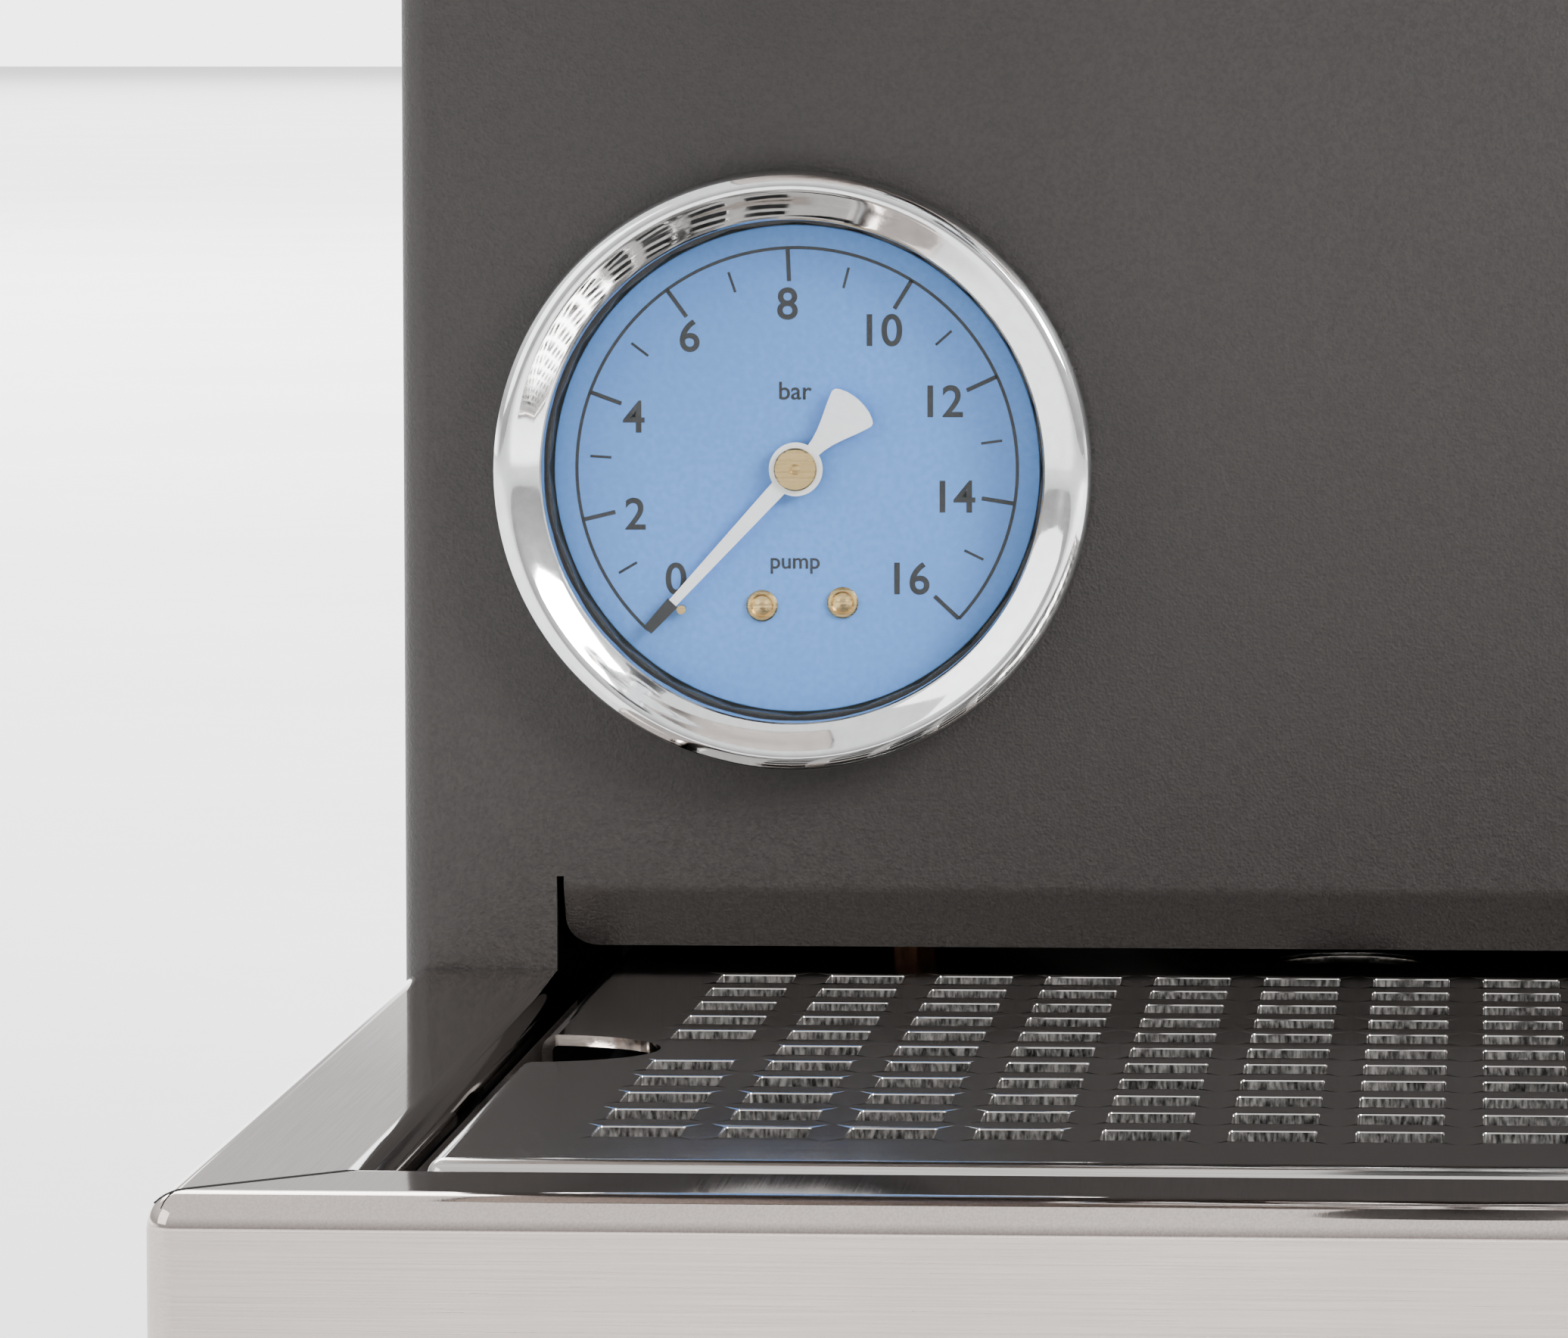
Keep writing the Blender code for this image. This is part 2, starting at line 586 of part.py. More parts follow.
def add_grille():
    back = GRILLE_BEHIND
    first_row = -LAST_ROW_FROM_PANEL - HOLE_LENGTH - (HOLE_ROWS - 1) * HOLE_PITCH_Y
    holes = [circle((DRAIN_X, DRAIN_Y), DRAIN_RADIUS, 16)]
    for column in range(HOLE_COLUMNS):
        for row in range(HOLE_ROWS):
            if row == NOTCH_ROW and column in (0, HOLE_COLUMNS - 1):
                continue
            x = (column - (HOLE_COLUMNS - 1) / 2) * HOLE_PITCH_X
            y = first_row + row * HOLE_PITCH_Y
            holes.append(rectangle((x - HOLE_WIDTH / 2, x + HOLE_WIDTH / 2), (y, y + HOLE_LENGTH)))
    notch_y = first_row + NOTCH_ROW * HOLE_PITCH_Y + HOLE_LENGTH / 2
    outline = [(-GRILLE_HALF, back)]
    for sign in (-1, 1):
        bow = arc((0, 0), 1.0, 90, -90, 8)
        notch = [(sign * (GRILLE_HALF - NOTCH_DEPTH * u), notch_y + v * NOTCH_LENGTH / 2) for u, v in bow]
        ends = [(sign * GRILLE_HALF, GRILLE_FRONT)]
        outline += notch + ends if sign < 0 else ends + notch[::-1]
    outline.append((GRILLE_HALF, back))
    plate = sheet(outline, GRILLE_TOP - GRILLE_SHEET, GRILLE_TOP, holes)
    grille = make("tray_grille", plate, "brushed_steel", "drip_tray")
    low, high = GRILLE_TOP - GRILLE_SKIRT, GRILLE_TOP - GRILLE_SHEET / 2
    sheet_in = GRILLE_HALF - GRILLE_SHEET
    skirts = [block((-GRILLE_HALF, GRILLE_HALF), (GRILLE_FRONT, GRILLE_FRONT + GRILLE_SHEET), (low, high))]
    notch_ends = (notch_y - NOTCH_LENGTH / 2, notch_y + NOTCH_LENGTH / 2)
    for sign in (-1, 1):
        side = sorted((sign * sheet_in, sign * GRILLE_HALF))
        for y in ((GRILLE_FRONT, notch_ends[0]), (notch_ends[1], back)):
            skirts.append(block(side, y, (low, high)))
    join(grille, *skirts)


def add_drip_pan():
    """The catch pan, with two bars and a nose that hold the frame round it."""
    half = GRILLE_HALF + 1.0
    front, back = GRILLE_FRONT - 1.0, GRILLE_BEHIND + 1.0
    outer = block((-half, half), (front, back), (STANDING, PAN_TOP))
    pan = make("drip_pan", outer, "black_plastic", "drip_tray")
    bar_low, bar_high = STANDING, STANDING + 6
    reach = HALF_WIDTH - FRAME_SHEET - GAP
    bar_fronts, bar_depth = (-130.0, -40.0), 16.0
    bars = [block((-reach, reach), (y, y + bar_depth), (bar_low, bar_high)) for y in bar_fronts]
    nose = block((-20, 20), (-TRAY_REACH + FRAME_SHEET + GAP, front + 1), (bar_low, bar_high))
    join(pan, *bars, nose)
    inner = half - PAN_WALL
    cut(pan, block((-inner, inner), (front + PAN_WALL, back - PAN_WALL), (STANDING + PAN_WALL, PAN_TOP + 5)))


# Gauge


def add_gauge():
    centre = (GAUGE_X, 0, GAUGE_Z)
    out = (0, -1, 0)
    opening, outer, rise = BEZEL_OPENING, BEZEL_RADIUS, BEZEL_RISE
    seat = 1.8
    bezel = [(CASE_RADIUS + GAP, GAP), (outer, GAP), (outer, rise - 2.6), (outer - 0.8, rise - 0.8)]
    bezel += [(outer - 2.0, rise), (outer - 2.7, rise - 0.5), (opening, rise - 1.8), (opening, seat)]
    bezel += [(CASE_RADIUS + GAP, seat)]
    make("gauge_bezel", turned(bezel, centre, out, 32), "polished_steel")
    inner = CASE_RADIUS - CASE_WALL
    mouth = seat - GAP
    case = [(0, -CASE_DEPTH), (CASE_RADIUS - 1, -CASE_DEPTH), (CASE_RADIUS, -CASE_DEPTH + 1)]
    case += [(CASE_RADIUS, mouth), (inner, mouth), (inner, -CASE_DEPTH + 1.2), (0, -CASE_DEPTH + 1.2)]
    make("gauge_case", turned(case, centre, out), "black_plastic")
    dial_radius = inner - GAP
    spindle = 0.9
    bore = spindle + 0.5
    dial = [(bore, -1.6), (dial_radius, -1.6), (dial_radius, -0.6), (bore, -0.6)]
    make("gauge_dial", turned(dial, centre, out), "dial_blue")
    glass_radius = opening - GAP
    make("gauge_glass", disc(glass_radius, seat + 0.2, seat + 1.4, centre, out, ROUND_STEPS), "glass")
    hub = [(0, -7), (spindle, -7), (spindle, -0.2), (2.7, -0.2), (2.7, 0.2), (1.0, 0.2)]
    hub += [(1.0, 1.1), (2.2, 1.1), (2.2, 1.6), (0, 1.6)]
    make("needle_hub", turned(hub, centre, out, 16), "brass", "gauge_needle")
    make("gauge_needle", pointer(), "needle_white", "gauge_needle")
    behind = CASE_DEPTH + 16
    tube_x, tube_bend_z, tube_top = GAUGE_X - TUBE_OFFSET, GAUGE_Z + 30.3, 240.0
    tube = [(GAUGE_X, CASE_DEPTH + GAP, GAUGE_Z), (GAUGE_X, behind, GAUGE_Z), (GAUGE_X, behind, tube_bend_z)]
    tube += [(tube_x, behind + 16, tube_bend_z), (tube_x, behind + 16, tube_top)]
    make("gauge_tube", rod(rounded_path(tube, 6.0), 1.5, 6), "copper")


def pointer():
    """The pointer, which rests on zero at the lower left, with a fan-shaped tail."""
    zero = math.radians(225 + 2.3)
    boss, tip, tail = 2.7, 0.35, 2.7
    outline = [(-NEEDLE_TAIL, -tail), *arc((0, 0), boss, 210, 330, 5), (NEEDLE_LENGTH, -tip)]
    outline += [(NEEDLE_LENGTH, tip), *arc((0, 0), boss, 30, 150, 5), (-NEEDLE_TAIL, tail)]
    outline = [
        (
            GAUGE_X + u * math.cos(zero) - v * math.sin(zero),
            GAUGE_Z + u * math.sin(zero) + v * math.cos(zero),
        )
        for u, v in outline
    ]
    bore = circle((GAUGE_X, GAUGE_Z), 1.3, 12)
    return sheet(outline, -0.9, -0.5, [bore], FACING_FRONT)


# Group, portafilter and boiler


def add_group():
    centre = (0, GROUP_Y, 0)
    ceiling = GASKET_TOP + GAP
    lip_top = GROUP_BOTTOM + LIP_HEIGHT
    channel = 3.0
    flange_low = HEAD_BOTTOM + SHELL_SHEET + GAP
    head = [(channel, FLANGE_TOP), (GROUP_FLANGE, FLANGE_TOP), (GROUP_FLANGE, flange_low)]
    head += [(GROUP_RADIUS, flange_low), (GROUP_RADIUS, GROUP_BOTTOM + 2)]
    head.append((GROUP_RADIUS - 2, GROUP_BOTTOM))
    head += [(BAYONET_LIP, GROUP_BOTTOM), (BAYONET_LIP, lip_top), (BAYONET_RADIUS, lip_top)]
    head += [(BAYONET_RADIUS, ceiling), (channel, ceiling)]
    group = make("group_head", turned(head, centre), "chrome")
    entry = Matrix.Translation(centre) @ Matrix.Rotation(math.radians(-50), 4, "Z")
    slot = block((-BAYONET_RADIUS, BAYONET_RADIUS), (-13, 13), (GROUP_BOTTOM - 1, lip_top + 1))
    slot.transform(entry)
    cut(group, slot)
    screen_radius = FILTER_RADIUS - 0.7
    seal = [(FILTER_RADIUS + 0.4, GASKET_BOTTOM), (BAYONET_RADIUS - GAP, GASKET_BOTTOM)]
    seal += [(BAYONET_RADIUS - GAP, GASKET_TOP), (FILTER_RADIUS + 0.4, GASKET_TOP)]
    make("group_gasket", turned(seal, centre), "rubber")
    spreader_low = GASKET_TOP - 4
    spreader = [(3, spreader_low), (screen_radius, spreader_low), (screen_radius, GASKET_TOP)]
    spreader.append((3, GASKET_TOP))
    make("dispersion_plate", turned(spreader, centre), "brass")
    low, high = GASKET_BOTTOM - 0.8, spreader_low - GAP
    screen = [(0, low), (screen_radius - 1, low), (screen_radius, low + 1), (screen_radius, high)]
    screen += [(screen_radius - 1, high), (screen_radius - 1, low + 1.2), (0, low + 1.2)]
    make("shower_screen", turned(screen, centre), "brushed_steel")


def add_portafilter():
    centre = (0, GROUP_Y, 0)
    floor = 4.0
    low = CUP_TOP - CUP_HEIGHT
    cup = [(5, low), (CUP_RADIUS - 5, low), (CUP_RADIUS, low + 6), (CUP_RADIUS, CUP_TOP)]
    cup += [(CUP_BORE, CUP_TOP), (CUP_BORE, low + floor + 4), (CUP_BORE - 4, low + floor), (5, low + floor)]
    body = make("portafilter_body", turned(cup, centre), "chrome", "portafilter")
    ear_low = GROUP_BOTTOM + LIP_HEIGHT + GAP
    ear_high = CUP_TOP - 1.0
    ears = []
    for start in (-18, 162):
        outline = arc((0, GROUP_Y), BAYONET_RADIUS - 0.6, start, start + 36, 5)
        outline += arc((0, GROUP_Y), CUP_RADIUS - 1, start + 36, start, 5)
        ears.append(sheet(outline, ear_low, ear_high))
    neck_z = low + 16
    neck_start = GROUP_Y - CUP_RADIUS + 1.5
    neck = rod([(0, neck_start, neck_z), (0, GROUP_Y - NECK_REACH, neck_z)], 7.0, 16)
    join(body, *ears, neck)
    add_filter(centre, low + floor)
    add_spout(low)
    grip = [(0, NECK_REACH + GAP), (10.5, NECK_REACH + GAP), (11.5, NECK_REACH + 2), (11.5, NECK_REACH + 8)]
    grip += [(10.5, NECK_REACH + 12), (13.5, NECK_REACH + 50), (15.0, NECK_REACH + 85)]
    grip += [(15.0, HANDLE_REACH - 22), (12.5, HANDLE_REACH - 8), (8.0, HANDLE_REACH - 2), (0, HANDLE_REACH)]
    handle = turned(grip, (0, GROUP_Y, neck_z), (0, -1, 0), 18)
    make("portafilter_handle", handle, "black_plastic", "portafilter")


def add_filter(centre, cup_floor):
    """The coffee basket, hanging by its rim on the top of the cup."""
    wall = 0.8
    bottom = cup_floor + 5
    rim = CUP_RADIUS - 0.3
    basket = [(0, bottom), (FILTER_RADIUS - 3, bottom), (FILTER_RADIUS + wall, bottom + 5)]
    rim_low = RIM_TOP - FILTER_RIM
    basket += [(FILTER_RADIUS + wall, rim_low), (rim, rim_low), (rim, RIM_TOP), (FILTER_RADIUS, RIM_TOP)]
    basket += [(FILTER_RADIUS, bottom + 5), (FILTER_RADIUS - 3.4, bottom + wall), (0, bottom + wall)]
    make("filter_basket", turned(basket, centre), "polished_steel", "portafilter")


def add_spout(cup_low):
    """Two spouts that part below one collar, bored right through."""
    outer, bore = 5.5, 3.4
    top = cup_low - GAP
    collar_low = top - 9
    collar = disc(9.0, collar_low - 3, top, (0, GROUP_Y, 0), steps=16)
    spout = make("portafilter_spout", collar, "chrome", "portafilter")
    arms, bores = [], []
    for sign in (-1, 1):
        x = sign * SPOUT_SPREAD
        corners = [(sign * 3.0, GROUP_Y, collar_low + 3), (x, GROUP_Y, collar_low - 12)]
        corners.append((x, GROUP_Y, SPOUT_TIP))
        path = rounded_path(corners, 9.0)
        arms.append(rod(path, outer, 12))
        inner = [path[0] + Vector((0, 0, 1))] + path[1:-1] + [path[-1] - Vector((0, 0, 2))]
        bores.append(rod(inner, bore, 8))
    join(spout, *arms)
    well = disc(4.6, collar_low, top + 2, (0, GROUP_Y, 0))
    cut(spout, *bores, well)


def add_boiler():
    centre = (0, GROUP_Y, 0)
    flange_top = BOILER_FOOT + BOILER_FLANGE
    base = [(3, BOILER_FOOT), (GROUP_FLANGE, BOILER_FOOT), (GROUP_FLANGE, flange_top), (3, flange_top)]
    make("boiler_base", turned(base, centre), "brass")
    low = flange_top + GAP
    high = low + BOILER_HEIGHT
    wall, outer = BOILER_WALL, BOILER_RADIUS
    tank = [(outer - wall, low), (GROUP_FLANGE, low), (GROUP_FLANGE, low + 4), (outer, low + 4)]
    tank += [(outer, high - 8), (outer - 8, high), (0, high), (0, high - wall), (outer - 8, high - wall)]
    tank += [(outer - wall, high - 8)]
    boiler = make("boiler_tank", turned(tank, centre), "brass")
    leg, leg_x = 3.2, 20.0
    holes = [disc(leg + 0.5, high - 8, high + 5, (x, GROUP_Y, 0), steps=12) for x in (-leg_x, leg_x)]
    cut(boiler, *holes)
    turns = 2
    steps = 9
    coil = [(-leg_x, GROUP_Y, high + 2), (-leg_x, GROUP_Y, high - 22)]
    for k in range(1, turns * steps + steps // 2):
        angle = math.pi + math.tau * k / steps
        fall = high - 22 - 26 * k / (turns * steps)
        coil.append((leg_x * math.cos(angle) * 1.25, GROUP_Y + leg_x * math.sin(angle) * 1.25, fall))
    coil += [(leg_x, GROUP_Y, high - 50), (leg_x, GROUP_Y, high + 2)]
    make("heating_element", rod(coil, leg, 6), "copper")


# Steam


def add_steam():
    """The steam valve, its pipe and the knob that turns it."""
    valve_y = HEAD_FRONT + 20
    size = 9.0
    tube_end = HEAD_BOTTOM + 5
    tall = (CONTROL_Z - size, CONTROL_Z + size)
    body = block((KNOB_X - size, KNOB_X + size), (valve_y, valve_y + 26), tall, 1.5)
    valve = make("steam_valve", body, "brass")
    pipe = [(KNOB_X, valve_y + 13, CONTROL_Z - size + 1), (KNOB_X, valve_y + 13, 284)]
    pipe += [(WAND_X, WAND_Y, 284), (WAND_X, WAND_Y, tube_end)]
    join(valve, rod(rounded_path(pipe, 5.0), 3.0))
    out = (0, -1, 0)
    length, outer = KNOB_LENGTH, KNOB_RADIUS
    shaft_back = -(valve_y - GAP - HEAD_FRONT)
    knob = [(0, shaft_back), (3, shaft_back), (3, 1), (outer - 1, 1), (outer, 2.5), (outer, 6)]
    knob += [(outer - 2.5, 8), (outer - 3.5, length - 2), (outer - 5, length), (0, length)]
    knob = turned(knob, (KNOB_X, HEAD_FRONT, CONTROL_Z), out, 24)
    make("steam_knob", knob, "black_plastic", "steam_knob")
    add_wand()


def add_wand():
    centre = (WAND_X, WAND_Y, BALL_Z)
    outer = BALL_RADIUS + 4
    seat = BALL_RADIUS + 0.5
    top = HEAD_BOTTOM - GAP - BALL_Z
    nut = [(5.0, top), (outer, top), (outer, -3.5), (outer - 1.5, -5), (seat - 1.4, -5)]
    nut += [(seat, -2.5), (seat, 3.5), (seat - 1.4, 5), (5.0, top - 1)]
    make("wand_nut", turned(nut, centre, steps=18), "chrome")
    poles = 8
    ball = [
        (BALL_RADIUS * math.sin(math.pi * k / poles), -BALL_RADIUS * math.cos(math.pi * k / poles))
        for k in range(1, poles)
    ]
    ball = [(0, -BALL_RADIUS), *ball, (0, BALL_RADIUS)]
    make("wand_ball", turned(ball, centre, steps=14), "chrome", "wand_ball")
    start = BALL_Z - BALL_RADIUS - GAP
    corners = [(WAND_X, WAND_Y, start), (WAND_X, WAND_Y, start - 26)]
    corners += [(WAND_X + 10, WAND_Y - 26, 150), (WAND_X + 12, WAND_Y - 34, WAND_TIP_Z)]
    path = rounded_path(corners, 18.0, 4)
    tip = path[-1]
    lead = (tip - path[-2]).normalized()
    path = path[:-1] + [tip - lead * 10, tip - lead * 9.5, tip - lead * 3, tip]
    radii = [3.5] * (len(path) - 4) + [3.5, 5.0, 5.0, 3.0]
    make("wand_tube", rod(path, radii, 10), "chrome", "wand")
    grip_from, grip_to = path[5], path[6]  # the long straight run
    along = (grip_to - grip_from).normalized()
    span = (grip_to - grip_from).length
    sleeve = [(3.5 + GAP, span * 0.30), (6.5, span * 0.30), (7.0, span * 0.34), (7.0, span * 0.62)]
    sleeve += [(6.5, span * 0.66), (3.5 + GAP, span * 0.66)]
    make("wand_grip", turned(sleeve, grip_from, along, 12), "rubber", "wand")


# Controls


def add_switches():
    middle = ROCKER_PLACES["brew"]
    proud, depth = 1.5, 24.0
    half_x, half_z = SWITCH_WIDTH / 2, SWITCH_HEIGHT / 2
    bezel = block(
        (middle - half_x, middle + half_x),
        (HEAD_FRONT - proud, HEAD_FRONT - GAP),
        (CONTROL_Z - half_z, CONTROL_Z + half_z),
        0.4,
        1,
    )
    housing = make("switch_block", bezel, "black_plastic")
    inner_x, inner_z = half_x - 2.4, half_z - 2.4
    back = block(
        (middle - inner_x, middle + inner_x),
        (HEAD_FRONT - proud / 2, HEAD_FRONT + depth),
        (CONTROL_Z - inner_z, CONTROL_Z + inner_z),
    )
    join(housing, back)
    wells = []
    for x in ROCKER_PLACES.values():
        half = ROCKER_WIDTH / 2 + 0.5
        tall = ROCKER_HALF_HEIGHT + 1.2
        well = (HEAD_FRONT - 5, HEAD_FRONT + depth - 3)
        wells.append(block((x - half, x + half), well, (CONTROL_Z - tall, CONTROL_Z + tall)))
    cut(housing, *wells)
    for name, x in ROCKER_PLACES.items():
        add_rocker(name, x)


def add_rocker(name, x):
    """A rocker at rest, switched off with its lower end in; its pivot lies behind the panel."""
    pivot_y = HEAD_FRONT + 4.0
    half = ROCKER_HALF_HEIGHT
    section = [(-7.0, half), (-5.4, 0.0), (-7.0, -half), (0.0, -half), (6.0, -5.0), (6.0, 5.0), (0.0, half)]
    tilt = math.radians(ROCKER_TILT)
    outline = [
        (
            pivot_y + y * math.cos(tilt) - z * math.sin(tilt),
            CONTROL_Z + y * math.sin(tilt) + z * math.cos(tilt),
        )
        for y, z in section
    ]
    rocker = sheet(outline, x - ROCKER_WIDTH / 2, x + ROCKER_WIDTH / 2, lie=SIDEWAYS)
    make(f"rocker_{name}", rocker, "black_plastic", f"rocker_{name}")


def add_display():
    depth = 20.0
    half_x, half_z = DISPLAY_WIDTH / 2, DISPLAY_HEIGHT / 2
    front = HEAD_FRONT - DISPLAY_PROUD
    bezel = block(
        (DISPLAY_X - half_x, DISPLAY_X + half_x),
        (front, HEAD_FRONT - GAP),
        (CONTROL_Z - half_z, CONTROL_Z + half_z),
        0.4,
        1,
    )
    module = make("display_module", bezel, "black_plastic")
    inner_x, inner_z = half_x - 2.4, half_z - 2.4
    back = block(
        (DISPLAY_X - inner_x, DISPLAY_X + inner_x),
        (front + 0.6, HEAD_FRONT + depth),
        (CONTROL_Z - inner_z, CONTROL_Z + inner_z),
    )
    join(module, back)
    glass_half_x, glass_low, glass_high = 21.0, -3.0, 13.0
    recess = block(
        (DISPLAY_X - glass_half_x - GAP, DISPLAY_X + glass_half_x + GAP),
        (front - 2, front + 3),
        (CONTROL_Z + glass_low - GAP, CONTROL_Z + glass_high + GAP),
    )
    bores = []
    bore_depth = 8.0
    for side in ("up", "down"):
        centre = PIVOTS[f"button_{side}"]
        place = (centre[0], front, centre[2])
        bores.append(disc(BUTTON_RADIUS + GAP, -bore_depth, 3, place, (0, -1, 0)))
        cap = [(0, -bore_depth + 3), (BUTTON_RADIUS, -bore_depth + 3), (BUTTON_RADIUS, 1.2)]
        cap += [(BUTTON_RADIUS - 0.6, 1.8), (0, 1.8)]
        cap_shape = turned(cap, place, (0, -1, 0), SMALL_STEPS)
        make(f"button_{side}", cap_shape, "grey_plastic", f"button_{side}")
    cut(module, recess, *bores)
    window = block(
        (DISPLAY_X - glass_half_x, DISPLAY_X + glass_half_x),
        (front + 0.3, front + 3 - GAP),
        (CONTROL_Z + glass_low, CONTROL_Z + glass_high),
    )
    make("display_window", window, "glass")


# Water and electrics


def add_water_tank():
    back = REAR_FACE - SHELL_SHEET - 6
    half = INNER_HALF - 8
    low = SHELF_Z + 2 + GAP
    high = low + TANK_HEIGHT
    shelf = block((-INNER_HALF + GAP, INNER_HALF - GAP), (TANK_FRONT - 6, back + 4), (SHELF_Z, SHELF_Z + 2))
    outlet = (0, (TANK_FRONT + back) / 2, 0)
    shelf_piece = make("tank_shelf", shelf, "brushed_steel")
    cut(shelf_piece, disc(9, SHELF_Z - 5, SHELF_Z + 8, outlet))
    outer = block((-half, half), (TANK_FRONT, back), (low, high), 6.0, 3)
    tank = make("water_tank", outer, "clear_plastic")
    wall = TANK_WALL
    inner = (-half + wall, half - wall)
    space = block(inner, (TANK_FRONT + wall, back - wall), (low + wall, high + 30), 4.0, 3)
    spill = block((-half - 1, half + 1), (TANK_FRONT - 1, back + 1), (high - 7, high + 40))
    cut(tank, space, spill, disc(3.0, low - 5, low + 10, outlet))
    start = (0, outlet[1], SHELF_Z - 1)
    behind = PUMP_BACK + 16
    corners = [start, (0, outlet[1], 120), (-20, 130, 100), (PUMP_X, behind, 78), (PUMP_X, behind, PUMP_Z)]
    corners.append((PUMP_X, PUMP_BACK + GAP, PUMP_Z))
    make("suction_hose", rod(rounded_path(corners, 12.0), HOSE_RADIUS), "silicone")


def add_pump():
    """A vibration pump: a coil round a barrel, on a folded bracket."""
    out = (0, 1, 0)
    centre = (PUMP_X, 0, PUMP_Z)
    barrel = [(0, PUMP_FRONT), (6, PUMP_FRONT), (6, PUMP_FRONT + 12), (14, PUMP_FRONT + 12)]
    barrel += [(14, PUMP_BACK - 12), (5, PUMP_BACK - 12), (5, PUMP_BACK), (0, PUMP_BACK)]
    pump = make("pump", turned(barrel, centre, out, 24), "black_plastic")
    half = 18.0
    coil_y = (PUMP_FRONT + 24, PUMP_FRONT + 64)
    join(pump, block((PUMP_X - half, PUMP_X + half), coil_y, (PUMP_Z - half, PUMP_Z + half), 2.0, 1))
    low = STANDING
    foot_z = PUMP_Z - half - GAP
    width = (coil_y[0] + 8, coil_y[1] - 8)
    section = [(-26, low), (26, low), (26, low + 1.5), (20, low + 1.5), (20, foot_z), (-20, foot_z)]
    section += [(-20, low + 1.5), (-26, low + 1.5)]
    hollow = rectangle((-18.5, 18.5), (low + 1.5, foot_z - 1.5))
    section = [(PUMP_X + x, z) for x, z in section]
    hollow = [(PUMP_X + x, z) for x, z in hollow]
    make("pump_bracket", sheet(section, *width, [hollow], FACING_FRONT), "brushed_steel")
    boiler_side = -BOILER_RADIUS - GAP
    pipe = [(PUMP_X, PUMP_FRONT - GAP, PUMP_Z), (PUMP_X, 48, PUMP_Z), (PUMP_X, 48, 80), (-20, 40, 100)]
    turn_x, low_z, high_z = boiler_side - 13.7, 286.0, 296.0
    pipe += [(-20, 30, low_z), (turn_x, -40, low_z), (turn_x, GROUP_Y, high_z)]
    pipe.append((boiler_side, GROUP_Y, high_z))
    make("feed_pipe", rod(rounded_path(pipe, 8.0), PIPE_RADIUS, 6), "copper")


def add_solenoid():
    """The three-way valve, and the waste pipe that empties over the grille's drain hole."""
    x, y = -BOILER_RADIUS - 32.5, GROUP_Y + 34
    low = HEAD_BOTTOM + SHELL_SHEET + GAP
    size = 11.0
    body = block((x - size, x + size), (y - size, y + size), (low, low + 20), 1.0, 1)
    valve = make("solenoid_valve", body, "brass")
    coil = block((x - 15, x + 15), (y - 15, y + 15), (low + 26, low + 60), 2.0, 1)
    join(valve, disc(8, low + 18, low + 66, (x, y, 0)), coil)
    exit_y = y + size + GAP
    bottom = GRILLE_TOP + LIP_BEND - 2
    pipe = [(x, exit_y, low + 13.5), (x, 12, low + 13.5), (DRAIN_X - 30, 12, low - 12)]
    pipe += [(DRAIN_X, DRAIN_Y, low - 30), (DRAIN_X, DRAIN_Y, bottom)]
    make("waste_pipe", rod(rounded_path(pipe, 8.0), 3.0), "silicone")


def add_electrics():
    controller = block((20, 86), (40, 66), (190, 250), 2.0, 1)
    make("control_box", controller, "grey_plastic")
    shelf = block((14, 92), (66 + GAP, 67.5 + GAP), (184, 256))
    make("control_bracket", shelf, "brushed_steel")
    block_y = (120.0, 140.0)
    terminals = make("terminal_block", block((30, 78), block_y, (STANDING, STANDING + 16)), "grey_plastic")
    pitch = 12.0
    wells = [
        disc(3.2, STANDING + 8, STANDING + 20, (36 + k * pitch, 130, 0), steps=10) for k in range(4)
    ]
    cut(terminals, *wells)


clear_scene()
add_holders()
add_base()
add_body_shell()
add_rear_panel()
add_inlet_socket()
add_head()
add_top()
add_tray_frame()
add_grille()
add_drip_pan()
add_gauge()
add_group()
add_portafilter()
add_boiler()
add_steam()
add_switches()
add_display()
add_water_tank()
add_pump()
add_solenoid()
add_electrics()
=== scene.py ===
"""The espresso machine's finished looks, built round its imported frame. Lengths are in millimetres."""

import json
import math

import bmesh
import bpy
from mathutils import Matrix, Vector


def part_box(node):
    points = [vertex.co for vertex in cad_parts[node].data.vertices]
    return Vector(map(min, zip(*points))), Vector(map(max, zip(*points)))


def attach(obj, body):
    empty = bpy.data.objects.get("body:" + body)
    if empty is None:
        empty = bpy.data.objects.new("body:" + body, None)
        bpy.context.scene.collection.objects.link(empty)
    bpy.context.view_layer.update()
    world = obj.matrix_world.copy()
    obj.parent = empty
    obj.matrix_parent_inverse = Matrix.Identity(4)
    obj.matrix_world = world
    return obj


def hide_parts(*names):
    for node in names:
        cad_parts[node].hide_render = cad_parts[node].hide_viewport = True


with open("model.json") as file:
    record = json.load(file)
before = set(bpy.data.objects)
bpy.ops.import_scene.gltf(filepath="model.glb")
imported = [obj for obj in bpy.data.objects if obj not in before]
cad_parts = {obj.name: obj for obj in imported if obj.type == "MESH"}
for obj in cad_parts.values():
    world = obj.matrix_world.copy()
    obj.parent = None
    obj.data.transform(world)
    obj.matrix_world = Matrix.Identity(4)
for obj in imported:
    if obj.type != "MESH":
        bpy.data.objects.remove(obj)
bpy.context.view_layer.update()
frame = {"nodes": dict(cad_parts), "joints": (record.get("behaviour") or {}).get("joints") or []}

MM = 0.001
GAP = 0.3  # the clearance that the frame leaves between pieces that touch


def corners(node):
    low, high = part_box(node)
    return low / MM, high / MM


def joint_at(name):
    """The point that a hinge turns about."""
    joint = next(j for j in frame["joints"] if j["name"] == name)
    return Vector(joint["pos_m"]) / MM


